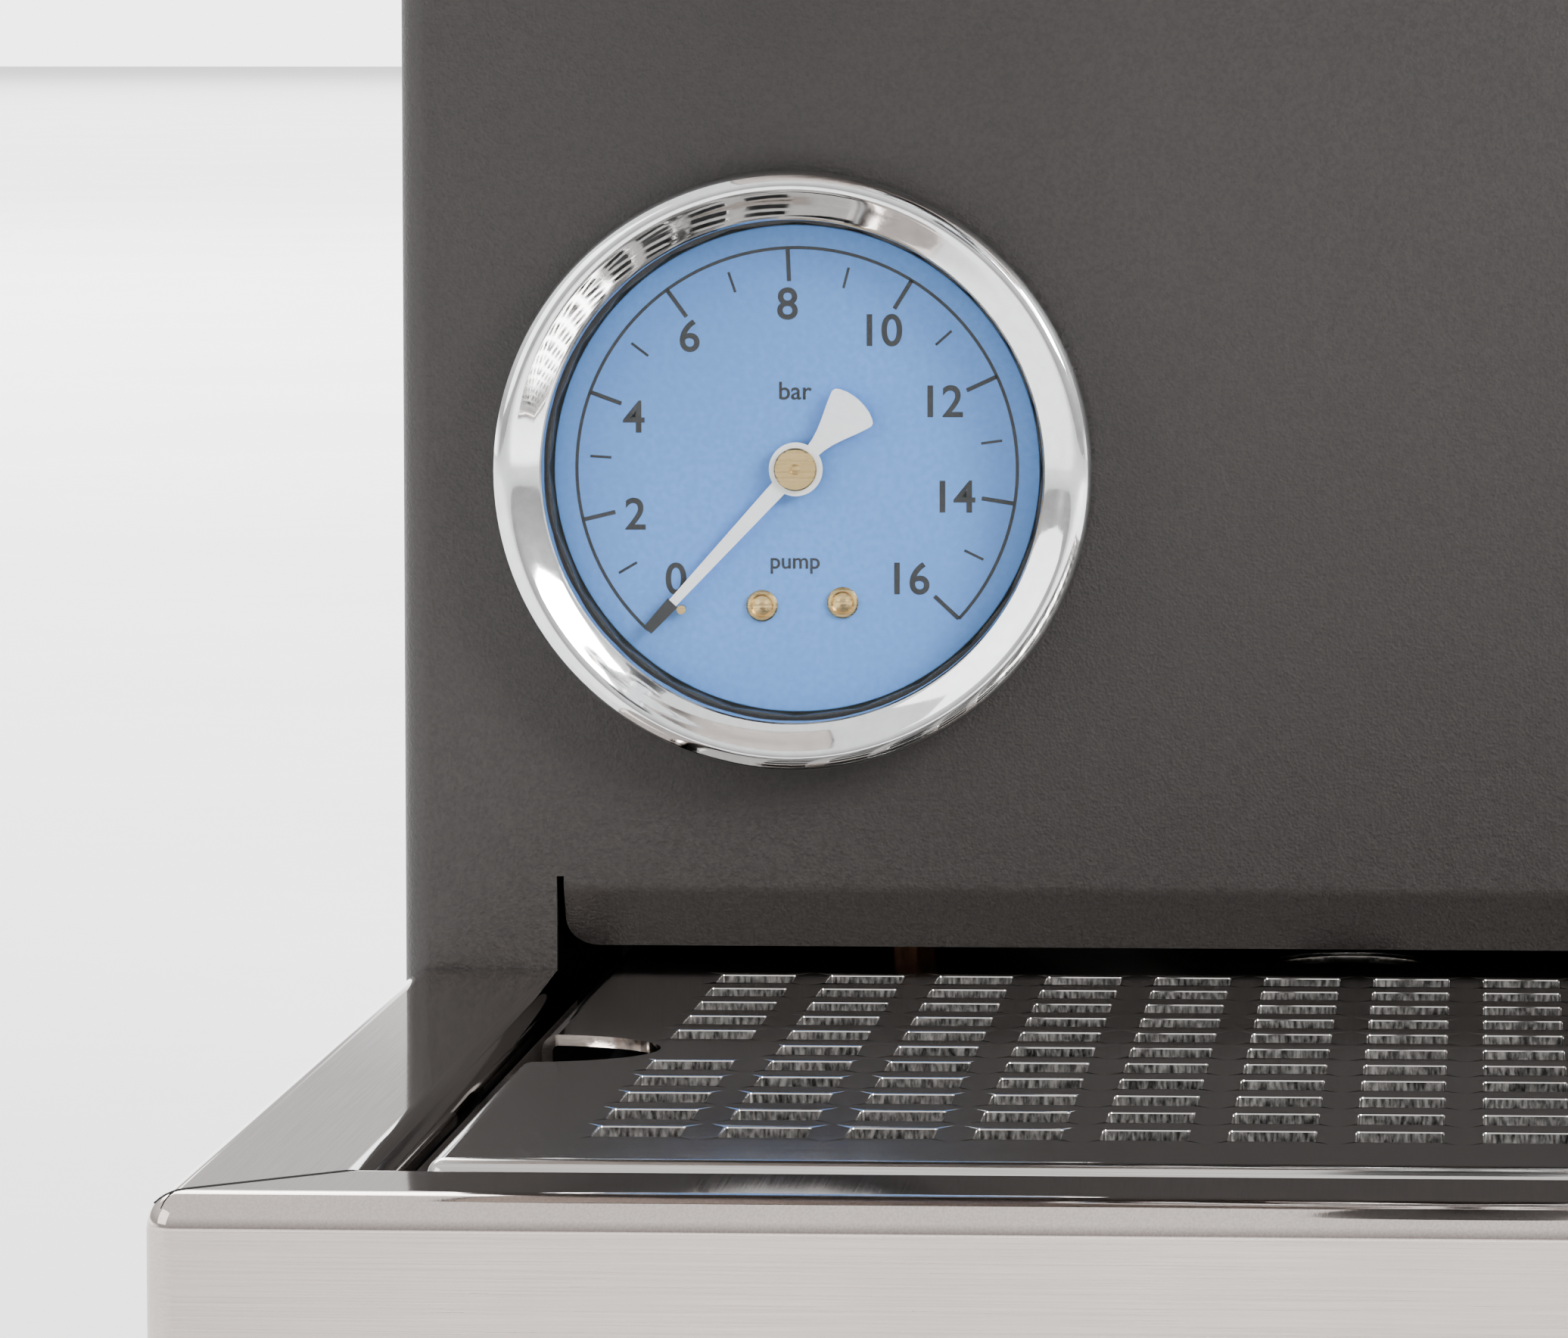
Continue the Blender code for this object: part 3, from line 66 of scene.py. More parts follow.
# Places and sizes that several pieces share, read from the frame
SHELL_LOW, SHELL_HIGH = corners("body_shell")
HEAD_LOW, HEAD_HIGH = corners("head_shell")
TRAY_LOW, TRAY_HIGH = corners("tray_frame")
GRILLE_LOW, GRILLE_HIGH = corners("tray_grille")
HALF_WIDTH = SHELL_HIGH.x
PANEL_Y = HEAD_HIGH.y + GAP
GAUGE = joint_at("gauge_needle_turn")
GAUGE.y = PANEL_Y
GROUP = joint_at("portafilter_lock")
GROUP_AXIS = (0, GROUP.y, 0)
KNOB = joint_at("steam_knob_turn")  # the rockers and the buttons stand level with it
HEAD_FRONT = HEAD_LOW.y
WAND = joint_at("wand_tilt")
FOLD_RADIUS = 3.0


# Materials


def link(tree, source, target):
    tree.links.new(source, target)


def texture_place(tree, stretch):
    """Object coordinates, stretched: each value is how many times a pattern repeats in a metre."""
    where = tree.nodes.new("ShaderNodeTexCoord")
    mapping = tree.nodes.new("ShaderNodeMapping")
    mapping.inputs["Scale"].default_value = stretch
    link(tree, where.outputs["Object"], mapping.inputs["Vector"])
    return mapping.outputs["Vector"]


def noise(tree, stretch, detail=3.0, roughness=0.55):
    node = tree.nodes.new("ShaderNodeTexNoise")
    node.inputs["Scale"].default_value = 1.0
    node.inputs["Detail"].default_value = detail
    node.inputs["Roughness"].default_value = roughness
    link(tree, texture_place(tree, stretch), node.inputs["Vector"])
    return node.outputs["Fac"]


def remap(tree, value, low, high, start=0.35, end=0.65):
    node = tree.nodes.new("ShaderNodeMapRange")
    node.inputs["From Min"].default_value = start
    node.inputs["From Max"].default_value = end
    node.inputs["To Min"].default_value = low
    node.inputs["To Max"].default_value = high
    link(tree, value, node.inputs["Value"])
    return node.outputs["Result"]


def blend_colours(tree, amount, first, second):
    node = tree.nodes.new("ShaderNodeMix")
    node.data_type = "RGBA"
    for key, colour in (("A", first), ("B", second)):
        socket = next(s for s in node.inputs if s.name == key and s.type == "RGBA")
        if isinstance(colour, tuple):
            socket.default_value = (*colour, 1.0)
        else:
            link(tree, colour, socket)
    link(tree, amount, node.inputs[0])
    return next(s for s in node.outputs if s.type == "RGBA")


def bump(tree, height, depth, normal=None):
    """Raises the surface by height, with depth in millimetres."""
    node = tree.nodes.new("ShaderNodeBump")
    node.inputs["Strength"].default_value = 1.0
    node.inputs["Distance"].default_value = depth * MM
    link(tree, height, node.inputs["Height"])
    if normal:
        link(tree, normal, node.inputs["Normal"])
    return node.outputs["Normal"]


def surface(name, dark, light, rough, fine, depth, cloud=18.0, metallic=0.0, detail=4.0, **constants):
    """A finish: fine texture in colour, gloss and relief, over slow clouds of handling and dirt.

    rough is (glossiest, dullest), fine the texture's repeats in a metre, alike or along X, Y and Z."""
    material = bpy.data.materials.new(name)
    material.use_nodes = True
    tree = material.node_tree
    shader = tree.nodes["Principled BSDF"]
    texture = noise(tree, fine if isinstance(fine, tuple) else (fine,) * 3, detail)
    clouds = noise(tree, (cloud,) * 3, 5.0, 0.6)
    toned = blend_colours(tree, remap(tree, texture, 0.0, 1.0), dark, light)
    deep = tuple(channel * 0.86 for channel in dark)
    toned = blend_colours(tree, remap(tree, clouds, 0.0, 0.45), toned, deep)
    link(tree, toned, shader.inputs["Base Color"])
    average = tree.nodes.new("ShaderNodeMath")
    average.operation = "ADD"
    link(tree, remap(tree, clouds, rough[0] * 0.5, rough[1] * 0.5), average.inputs[0])
    link(tree, remap(tree, texture, rough[0] * 0.5, rough[1] * 0.5), average.inputs[1])
    link(tree, average.outputs[0], shader.inputs["Roughness"])
    shader.inputs["Metallic"].default_value = metallic
    if depth:
        link(tree, bump(tree, texture, depth), shader.inputs["Normal"])
    for key, value in constants.items():
        shader.inputs[key.replace("_", " ")].default_value = value
    return material


def brushed(name, dark, light, rough, along, depth, cloud=14.0):
    """Brushed or rolled metal, with its lines along one axis."""
    fine = [5200.0, 5200.0, 5200.0]
    fine["XYZ".index(along)] = 45.0
    return surface(name, dark, light, rough, tuple(fine), depth, cloud, 1.0)


def glowing(name, colour, strength):
    material = surface(name, colour, tuple(min(1.0, c * 1.1) for c in colour), (0.25, 0.35), 900, 0.0)
    shader = material.node_tree.nodes["Principled BSDF"]
    shader.inputs["Emission Color"].default_value = (*colour, 1.0)
    shader.inputs["Emission Strength"].default_value = strength
    return material


def powder_coat():
    """Anthracite powder: a tight sandy grain, with specks that catch the light."""
    dark, light = (0.0148, 0.0126, 0.0116), (0.0262, 0.0226, 0.0211)
    material = surface("anthracite_powder", dark, light, (0.42, 0.60), 2400, 0.05, 9.0)
    tree = material.node_tree
    shader = tree.nodes["Principled BSDF"]
    grains = tree.nodes.new("ShaderNodeTexVoronoi")
    grains.inputs["Scale"].default_value = 1.0
    link(tree, texture_place(tree, (3100,) * 3), grains.inputs["Vector"])
    finer = bump(tree, grains.outputs["Distance"], 0.035, shader.inputs["Normal"].links[0].from_socket)
    link(tree, finer, shader.inputs["Normal"])
    shader.inputs["Specular IOR Level"].default_value = 0.42
    return material


STEEL = ((0.46, 0.405, 0.375), (0.57, 0.505, 0.47))
PLATE_STEEL = ((0.44, 0.42, 0.40), (0.56, 0.54, 0.52))
FINISHES = {
    "powder": powder_coat(),
    "steel_polished": brushed("polished_stainless", *STEEL, (0.03, 0.07), "Y", 0.0006),
    "steel_satin": brushed("satin_stainless", *STEEL, (0.24, 0.38), "X", 0.012),
    "steel_side": brushed("satin_stainless_side", *STEEL, (0.24, 0.38), "Y", 0.012),
    "steel_plate": brushed("grained_stainless", *PLATE_STEEL, (0.06, 0.13), "X", 0.002),
    "amber": glowing("amber_lamp", (0.95, 0.32, 0.03), 1.2),
    "digits": glowing("orange_digits", (1.0, 0.22, 0.02), 4.0),
}
PUNCHED, TURNED = (2600, 2600, 900), (60, 60, 4000)
PATTERNED = (
    # key, name, dark colour, light colour, gloss, texture's repeats, its depth, clouds' repeats, metal, opacity
    ("punched_edge", "punched_steel_edge", (0.1, 0.095, 0.09), (0.52, 0.5, 0.48), (0.25, 0.5), PUNCHED, 0.04, 60, 1, 1),
    ("chrome", "chrome_plate", (0.66, 0.67, 0.68), (0.74, 0.75, 0.76), (0.03, 0.09), 700, 0.002, 22, 1, 1),
    ("brass", "turned_brass", (0.5, 0.35, 0.14), (0.68, 0.5, 0.23), (0.2, 0.36), TURNED, 0.01, 25, 1, 1),
    ("copper", "drawn_copper", (0.62, 0.28, 0.16), (0.8, 0.42, 0.27), (0.22, 0.38), 900, 0.01, 40, 1, 1),
    ("black_plastic", "grained_black_plastic", (0.01, 0.01, 0.011), (0.02, 0.02, 0.021),
     (0.34, 0.5), 3000, 0.03, 18, 0, 1),
    ("gloss_black", "gloss_black_plastic", (0.006, 0.006, 0.007), (0.011, 0.011, 0.012),
     (0.08, 0.18), 500, 0.003, 18, 0, 1),
    ("grey_plastic", "grained_grey_plastic", (0.16, 0.16, 0.165), (0.23, 0.23, 0.235),
     (0.4, 0.55), 2600, 0.03, 18, 0, 1),
    ("rubber", "black_rubber", (0.012, 0.012, 0.012), (0.026, 0.026, 0.025), (0.62, 0.85), 2000, 0.05, 18, 0, 1),
    ("silicone", "milky_silicone", (0.62, 0.61, 0.57), (0.78, 0.77, 0.73), (0.4, 0.55), 800, 0.01, 18, 0, 1),
    ("dial", "dial_blue", (0.08, 0.26, 0.69), (0.1, 0.3, 0.76), (0.38, 0.5), 1500, 0.004, 30, 0, 1),
    ("white", "white_enamel", (0.86, 0.89, 0.92), (0.94, 0.96, 0.98), (0.3, 0.42), 1200, 0.003, 18, 0, 1),
    ("black_ink", "black_print", (0.006, 0.006, 0.008), (0.014, 0.014, 0.017), (0.4, 0.55), 1800, 0.002, 18, 0, 1),
    # The joint finish is painted shade: thin rods in it stand for the shade inside the tray frame's mitre gaps.
    ("joint", "dark_joint", (0.004, 0.004, 0.004), (0.01, 0.01, 0.01), (0.8, 0.95), 900, 0.0, 18, 0, 1),
    ("glass", "clear_glass", (0.1, 0.12, 0.12), (0.14, 0.16, 0.16), (0.015, 0.045), 60, 0.0, 12, 0, 0.06),
    ("floor", "pale_floor", (0.9, 0.9, 0.9), (0.94, 0.94, 0.94), (0.55, 0.7), 60, 0.01, 3, 0, 1),
    ("clear", "clear_tank_plastic", (0.66, 0.74, 0.8), (0.78, 0.84, 0.88), (0.06, 0.16), 120, 0.01, 12, 0, 0.32),
)
for key, *look, metal, opacity in PATTERNED:
    FINISHES[key] = surface(*look, metallic=metal, Alpha=opacity)


# Shapes, as bmeshes in millimetres


def arc(centre, radius, start, end, steps):
    """Points on a circle, from start to end in degrees."""
    angles = [math.radians(start + (end - start) * k / steps) for k in range(steps + 1)]
    return [(centre[0] + radius * math.cos(a), centre[1] + radius * math.sin(a)) for a in angles]


def moved(points, across=0.0, along=0.0):
    return [(u + across, v + along) for u, v in points]


def circle(centre, radius, steps=48):
    return arc(centre, radius, 0, 360, steps)[:-1]


def rectangle(x, y, radius=0.0, steps=4):
    """A rectangle from (low, high) pairs, with rounded corners."""
    if not radius:
        return [(x[0], y[0]), (x[1], y[0]), (x[1], y[1]), (x[0], y[1])]
    places = ((x[1], y[0], 270), (x[1], y[1], 0), (x[0], y[1], 90), (x[0], y[0], 180))
    points = []
    for px, py, start in places:
        centre = (px - math.copysign(radius, px - sum(x) / 2), py - math.copysign(radius, py - sum(y) / 2))
        points += arc(centre, radius, start, start + 90, steps)
    return points


def block(x, y, z, bevel=0.0, steps=3):
    shape = bmesh.new()
    bmesh.ops.create_cube(shape, size=1.0)
    size = (x[1] - x[0], y[1] - y[0], z[1] - z[0])
    middle = Vector((x[0] + x[1], y[0] + y[1], z[0] + z[1])) / 2
    shape.transform(Matrix.Translation(middle) @ Matrix.Diagonal((*size, 1.0)))
    if bevel:
        bmesh.ops.bevel(shape, geom=shape.edges, offset=bevel, segments=steps, profile=0.5, affect="EDGES")
    return shape


FLAT = Matrix(((1, 0, 0), (0, 1, 0), (0, 0, 1)))
FACING_FRONT = Matrix(((1, 0, 0), (0, 0, 1), (0, 1, 0)))  # outline in XZ, thickness along Y
SIDEWAYS = Matrix(((0, 0, 1), (1, 0, 0), (0, 1, 0)))  # outline in YZ, thickness along X


def sheet(outline, low, high, holes=(), lie=FLAT):
    """A flat outline with holes, as a plate from low to high."""
    shape = bmesh.new()
    edges = []
    for loop in (outline, *holes):
        points = [shape.verts.new((*point, low)) for point in loop]
        edges += [shape.edges.new((points[k - 1], points[k])) for k in range(len(points))]
    bmesh.ops.triangle_fill(shape, use_beauty=True, edges=edges)
    raised = bmesh.ops.extrude_face_region(shape, geom=shape.faces[:], use_keep_orig=True)
    moved = [v for v in raised["geom"] if isinstance(v, bmesh.types.BMVert)]
    bmesh.ops.translate(shape, verts=moved, vec=(0, 0, high - low))
    shape.transform(lie.to_4x4())
    return shape


def turned(profile, centre, towards=(0, 0, 1), steps=96):
    """A closed (radius, height) profile turned about the line through centre, along towards."""
    shape = bmesh.new()
    rings = []
    for radius, height in profile:
        count = 1 if radius == 0 else steps
        turns = [math.tau * k / steps for k in range(count)]
        rings.append([shape.verts.new((radius * math.cos(t), radius * math.sin(t), height)) for t in turns])
    for k, ring in enumerate(rings):
        following = rings[(k + 1) % len(rings)]
        if len(ring) == len(following) == 1:
            continue
        for step in range(steps):
            after = (step + 1) % steps
            quad = [ring[step % len(ring)], ring[after % len(ring)]]
            quad += [following[after % len(following)], following[step % len(following)]]
            shape.faces.new(list(dict.fromkeys(quad)))
    direction = Vector(towards).to_track_quat("Z", "Y").to_matrix().to_4x4()
    shape.transform(Matrix.Translation(centre) @ direction)
    return shape


def soften(profile, radius, steps=4):
    """Rounds each corner of a closed (radius, height) profile that doesn't touch the axis."""
    points = []
    for k, corner in enumerate(profile):
        here = Vector(corner)
        before = Vector(profile[k - 1]) - here
        after = Vector(profile[(k + 1) % len(profile)]) - here
        if corner[0] <= 0 or before.length < 1e-6 or after.length < 1e-6:
            points.append(corner)
            continue
        reach = min(radius, before.length * 0.45, after.length * 0.45)
        start = here + before.normalized() * reach
        end = here + after.normalized() * reach
        for step in range(steps + 1):
            t = step / steps
            points.append(tuple(start * (1 - t) ** 2 + here * 2 * t * (1 - t) + end * t**2))
    return points


def rounded_path(points, radius, steps=8):
    """The corners of a bent tube, with an arc at each bend."""
    path = [Vector(points[0])]
    for before, corner, after in zip(points, points[1:], points[2:]):
        corner = Vector(corner)
        arriving = (Vector(before) - corner).normalized()
        leaving = (Vector(after) - corner).normalized()
        half = arriving.angle(leaving) / 2
        reach = radius / math.tan(half)
        middle = corner + (arriving + leaving).normalized() * radius / math.sin(half)
        start = (corner + arriving * reach - middle).normalized()
        end = (corner + leaving * reach - middle).normalized()
        path += [middle + start.slerp(end, k / steps) * radius for k in range(steps + 1)]
    path.append(Vector(points[-1]))
    return path


def rod(points, radius, sides=24):
    """A round rod along points. Radius may be one value for each point."""
    radii = radius if isinstance(radius, list) else [radius] * len(points)
    points = [Vector(point) for point in points]
    shape = bmesh.new()
    rings = []
    heading = (points[1] - points[0]).normalized()
    across = heading.orthogonal().normalized()
    for k, point in enumerate(points):
        ahead = points[min(k + 1, len(points) - 1)]
        behind = points[max(k - 1, 0)]
        new_heading = (ahead - behind).normalized()
        across = (heading.rotation_difference(new_heading) @ across).normalized()
        heading = new_heading
        up = heading.cross(across)
        turns = [math.tau * s / sides for s in range(sides)]
        ring = [point + radii[k] * (across * math.cos(t) + up * math.sin(t)) for t in turns]
        rings.append([shape.verts.new(place) for place in ring])
    for ring, following in zip(rings, rings[1:]):
        for s in range(sides):
            shape.faces.new((ring[s - 1], ring[s], following[s], following[s - 1]))
    shape.faces.new(rings[0])
    shape.faces.new(rings[-1])
    return shape


def folded(outline, thickness, half, front, holes=(), lip=None, steps=8):
    """A sheet cut flat and folded into a U round two upright bends.

    The outline is (along, height) with along = 0 at the middle of the front wall. lip is
    (bend height, half width, angle, inner radius) for a tongue bent inwards at the bottom."""
    shape = sheet(outline, 0.0, thickness, holes)
    flat = half - FOLD_RADIUS
    bend = math.pi / 2 * FOLD_RADIUS
    cuts = [((side * (flat + bend * k / steps), 0, 0), (1, 0, 0)) for side in (-1, 1) for k in range(steps + 1)]
    if lip:
        bend_z, lip_half, angle, inner = lip
        middle = inner + thickness / 2
        cuts += [((0, bend_z - middle * angle * k / 5, 0), (0, 1, 0)) for k in range(6)]
    for place, normal in cuts:
        everything = shape.verts[:] + shape.edges[:] + shape.faces[:]
        bmesh.ops.bisect_plane(shape, geom=everything, plane_co=place, plane_no=normal)
    for vertex in shape.verts:
        along, z, depth = vertex.co
        y = front + depth
        if lip and z < bend_z and abs(along) < lip_half + 0.01:
            below = bend_z - z
            turn = min(below / middle, angle)
            radius = inner + thickness - depth
            rest = max(0.0, below - middle * angle)
            y = front + thickness + inner - radius * math.cos(turn) + rest * math.sin(angle)
            z = bend_z - radius * math.sin(turn) - rest * math.cos(angle)
        reach = abs(along)
        side = math.copysign(1, along)
        if reach > flat + bend:
            place = (side * (half - depth), front + FOLD_RADIUS + reach - flat - bend, z)
        elif reach > flat:
            turn = (reach - flat) / FOLD_RADIUS
            round_at = FOLD_RADIUS - depth
            place = (side * (flat + round_at * math.sin(turn)), front + FOLD_RADIUS - round_at * math.cos(turn), z)
        else:
            place = (along, y, z)
        vertex.co = place
    return shape


def rim_path(profile, half, front, back, corner, steps=6):
    """Rings for a U-shaped frame: each profile point is (inward offset, height), mitred where it can't round."""
    shape = bmesh.new()
    rings = []
    for inward, z in profile:
        ring = [(-half + inward, back)]
        for side in (-1, 1):
            radius = corner - inward
            if radius > 0:
                middle = (side * (half - corner), front + corner)
                angles = (180, 270) if side < 0 else (270, 360)
                ring += arc(middle, radius, *angles, steps)
            else:
                ring += [(side * (half - inward), front + inward)] * (steps + 1)
        ring.append((half - inward, back))
        rings.append([shape.verts.new((*point, z)) for point in ring])
    for k, ring in enumerate(rings):
        following = rings[(k + 1) % len(rings)]
        for s in range(len(ring) - 1):
            shape.faces.new((ring[s], ring[s + 1], following[s + 1], following[s]))
    shape.faces.new([ring[0] for ring in rings])
    shape.faces.new([ring[-1] for ring in rings])
    bmesh.ops.remove_doubles(shape, verts=shape.verts, dist=1e-4)
    return shape


# Making pieces


SHARP = 32.0  # degrees past which an edge isn't shaded round


def to_object(name, shape, finishes, sharp=SHARP):
    """A bmesh in millimetres becomes an object in metres."""
    bmesh.ops.recalc_face_normals(shape, faces=shape.faces)
    if shape.calc_volume(signed=True) < 0:
        bmesh.ops.reverse_faces(shape, faces=shape.faces)
    shape.transform(Matrix.Scale(MM, 4))
    mesh = bpy.data.meshes.new(name)
    shape.to_mesh(mesh)
    shape.free()
    return mesh_object(name, mesh, finishes, sharp)


def mesh_object(name, mesh, finishes, sharp=SHARP):
    mesh.shade_smooth()
    mesh.set_sharp_from_angle(angle=math.radians(sharp))
    if isinstance(finishes, str):
        mesh.materials.clear()
        finishes = [finishes]
    for finish in finishes:
        mesh.materials.append(FINISHES[finish])
    made = bpy.data.objects.new(name, mesh)
    bpy.context.collection.objects.link(made)
    return made


def settle(made, body, slot, *stands_for):
    """Hangs a finished piece on its body, and hides the CAD nodes that it stands for."""
    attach(made, body)
    if stands_for:
        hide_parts(*stands_for)
    return made


def piece(name, shape, finish, body, slot, *stands_for, sharp=SHARP):
    """A shape in one finish, hung on its body."""
    return settle(to_object(name, shape, finish, sharp), body, slot, *stands_for)


def edge(made, width, angle=40.0, segments=2):
    """Breaks a piece's sharp edges."""
    modifier = made.modifiers.new("edge", "BEVEL")
    modifier.width = width * MM
    modifier.segments = segments
    modifier.limit_method = "ANGLE"
    modifier.angle_limit = math.radians(angle)
    modifier.harden_normals = True
    return made


def keep_flat(made):
    """Large flat faces keep their own direction, and only the bends beside them are shaded round."""
    modifier = made.modifiers.new("keep_flat", "WEIGHTED_NORMAL")
    modifier.keep_sharp = True
    modifier.weight = 100
    return made


def carve(made, shape, operation="DIFFERENCE"):
    """Cuts a shape out of a piece, or joins it on, and keeps only the result."""
    tool = to_object("tool", shape, "joint")
    modifier = made.modifiers.new("carve", "BOOLEAN")
    modifier.operation = operation
    modifier.object = tool
    finished = bpy.data.meshes.new_from_object(made.evaluated_get(bpy.context.evaluated_depsgraph_get()))
    made.modifiers.remove(modifier)
    made.data = finished
    bpy.data.objects.remove(tool)
    finished.shade_smooth()
    finished.set_sharp_from_angle(angle=math.radians(SHARP))
    return made


def merge(name, objects):
    """Joins objects of one finish into one piece."""
    whole = bmesh.new()
    for made in objects:
        whole.from_mesh(made.data)
    mesh = bpy.data.meshes.new(name)
    whole.to_mesh(mesh)
    whole.free()
    for material in objects[0].data.materials:
        mesh.materials.append(material)
    mesh.set_sharp_from_angle(angle=math.radians(SHARP))
    piece = bpy.data.objects.new(name, mesh)
    bpy.context.collection.objects.link(piece)
    for made in objects:
        bpy.data.objects.remove(made)
    return piece


# Geometry Nodes for what repeats


def start_tree(name, sizes):
    """A tree with the named inputs, a stamp object and a finish."""
    tree = bpy.data.node_groups.new(name, "GeometryNodeTree")
    tree.interface.new_socket("Geometry", in_out="INPUT", socket_type="NodeSocketGeometry")
    for key, kind in {**sizes, "Stamp": "Object", "Finish": "Material"}.items():
        tree.interface.new_socket(key, in_out="INPUT", socket_type=f"NodeSocket{kind}")
    tree.interface.new_socket("Geometry", in_out="OUTPUT", socket_type="NodeSocketGeometry")
    given = tree.nodes.new("NodeGroupInput")
    return tree, given


def end_tree(tree, given, points, rotation=None):
    """Puts the stamp on the points, and ends in plain faces with their finish."""
    stamp = tree.nodes.new("GeometryNodeObjectInfo")
    link(tree, given.outputs["Stamp"], stamp.inputs["Object"])
    place = tree.nodes.new("GeometryNodeInstanceOnPoints")
    link(tree, points, place.inputs["Points"])
    link(tree, stamp.outputs["Geometry"], place.inputs["Instance"])
    if rotation:
        link(tree, rotation, place.inputs["Rotation"])
    real = tree.nodes.new("GeometryNodeRealizeInstances")
    link(tree, place.outputs["Instances"], real.inputs["Geometry"])
    paint = tree.nodes.new("GeometryNodeSetMaterial")
    link(tree, real.outputs["Geometry"], paint.inputs["Geometry"])
    link(tree, given.outputs["Finish"], paint.inputs["Material"])
    out = tree.nodes.new("NodeGroupOutput")
    link(tree, paint.outputs["Geometry"], out.inputs["Geometry"])
    return tree


def maths(tree, operation, first, second=0.0):
    node = tree.nodes.new("ShaderNodeMath")
    node.operation = operation
    for socket, value in zip(node.inputs, (first, second)):
        if isinstance(value, (int, float)):
            socket.default_value = value
        else:
            link(tree, value, socket)
    return node.outputs[0]


def put_points(tree, given, line, offset):
    """Moves the points to their offsets from the centre."""
    place = tree.nodes.new("ShaderNodeVectorMath")
    link(tree, offset.outputs[0], place.inputs[0])
    link(tree, given.outputs["Centre"], place.inputs[1])
    put = tree.nodes.new("GeometryNodeSetPosition")
    link(tree, line.outputs[0], put.inputs["Geometry"])
    link(tree, place.outputs[0], put.inputs["Position"])
    return put


def ring_tree():
    """Stamps round a dial or a knob that faces -Y, turned to follow it."""
    sizes = {"Count": "Int", "Radius": "Float", "Start": "Float", "Sweep": "Float", "Centre": "Vector"}
    tree, given = start_tree("stamps_in_a_ring", sizes)
    line = tree.nodes.new("GeometryNodePoints")
    link(tree, given.outputs["Count"], line.inputs["Count"])
    index = tree.nodes.new("GeometryNodeInputIndex").outputs[0]
    gaps = maths(tree, "MAXIMUM", maths(tree, "SUBTRACT", given.outputs["Count"], 1.0), 1.0)
    share = maths(tree, "DIVIDE", index, gaps)
    angle = maths(tree, "ADD", given.outputs["Start"], maths(tree, "MULTIPLY", share, given.outputs["Sweep"]))
    circle_at = tree.nodes.new("ShaderNodeCombineXYZ")
    link(tree, maths(tree, "MULTIPLY", maths(tree, "COSINE", angle), given.outputs["Radius"]), circle_at.inputs["X"])
    link(tree, maths(tree, "MULTIPLY", maths(tree, "SINE", angle), given.outputs["Radius"]), circle_at.inputs["Z"])
    put = put_points(tree, given, line, circle_at)
    turn = tree.nodes.new("ShaderNodeCombineXYZ")
    link(tree, maths(tree, "MULTIPLY", angle, -1.0), turn.inputs["Y"])
    return end_tree(tree, given, put.outputs[0], turn.outputs[0])


def grid_tree():
    """Stamps in columns and rows on a level field, leaving out the two ends of one row."""
    sizes = {"Columns": "Int", "Rows": "Int", "Pitch X": "Float", "Pitch Y": "Float"}
    tree, given = start_tree("stamps_in_a_grid", {**sizes, "Open row": "Int", "Centre": "Vector"})
    line = tree.nodes.new("GeometryNodePoints")
    link(tree, maths(tree, "MULTIPLY", given.outputs["Columns"], given.outputs["Rows"]), line.inputs["Count"])
    index = tree.nodes.new("GeometryNodeInputIndex").outputs[0]
    column = maths(tree, "MODULO", index, given.outputs["Columns"])
    row = maths(tree, "FLOOR", maths(tree, "DIVIDE", index, given.outputs["Columns"]))
    spread = tree.nodes.new("ShaderNodeCombineXYZ")
    for number, count, pitch, axis in ((column, "Columns", "Pitch X", "X"), (row, "Rows", "Pitch Y", "Y")):
        middle = maths(tree, "DIVIDE", maths(tree, "SUBTRACT", given.outputs[count], 1.0), 2.0)
        offset = maths(tree, "SUBTRACT", number, middle)
        link(tree, maths(tree, "MULTIPLY", offset, given.outputs[pitch]), spread.inputs[axis])
    put = put_points(tree, given, line, spread)
    in_row = maths(tree, "COMPARE", row, given.outputs["Open row"])
    last = maths(tree, "SUBTRACT", given.outputs["Columns"], 1.0)
    at_end = maths(tree, "ADD", maths(tree, "COMPARE", column, 0.0), maths(tree, "COMPARE", column, last))
    drop = tree.nodes.new("GeometryNodeDeleteGeometry")
    link(tree, put.outputs[0], drop.inputs["Geometry"])
    link(tree, maths(tree, "MULTIPLY", in_row, at_end), drop.inputs["Selection"])
    return end_tree(tree, given, drop.outputs[0])


def points_tree():
    """Stamps on the vertices of the object itself, all turned the same way."""
    tree, given = start_tree("stamps_on_points", {"Turn": "Vector"})
    return end_tree(tree, given, given.outputs["Geometry"], given.outputs["Turn"])


RING = ring_tree()
GRID = grid_tree()
POINTS = points_tree()
IN_MILLIMETRES = ("Radius", "Pitch X", "Pitch Y", "Centre")


def grow(name, tree, stamp, finish, sizes, points=()):
    """Runs a tree with these inputs, and keeps its plain mesh. Lengths are in millimetres."""
    seed = bpy.data.meshes.new(name + "_seed")
    seed.from_pydata([Vector(point) * MM for point in points], [], [])
    carrier = bpy.data.objects.new(name + "_seed", seed)
    bpy.context.collection.objects.link(carrier)
    modifier = carrier.modifiers.new("grow", "NODES")
    modifier.node_group = tree
    values = {**sizes, "Stamp": stamp, "Finish": FINISHES[finish]}
    for key in IN_MILLIMETRES:
        if key in values:
            lengths = values[key]
            values[key] = tuple(x * MM for x in lengths) if isinstance(lengths, tuple) else lengths * MM
    for item in tree.interface.items_tree:
        if item.in_out == "INPUT" and item.name in values:
            modifier[item.identifier] = values[item.name]
    finished = bpy.data.meshes.new_from_object(carrier.evaluated_get(bpy.context.evaluated_depsgraph_get()))
    carrier.modifiers.remove(modifier)
    bpy.data.objects.remove(carrier)
    bpy.data.objects.remove(stamp)
    finished.name = name
    return mesh_object(name, finished, finish)


# Casing

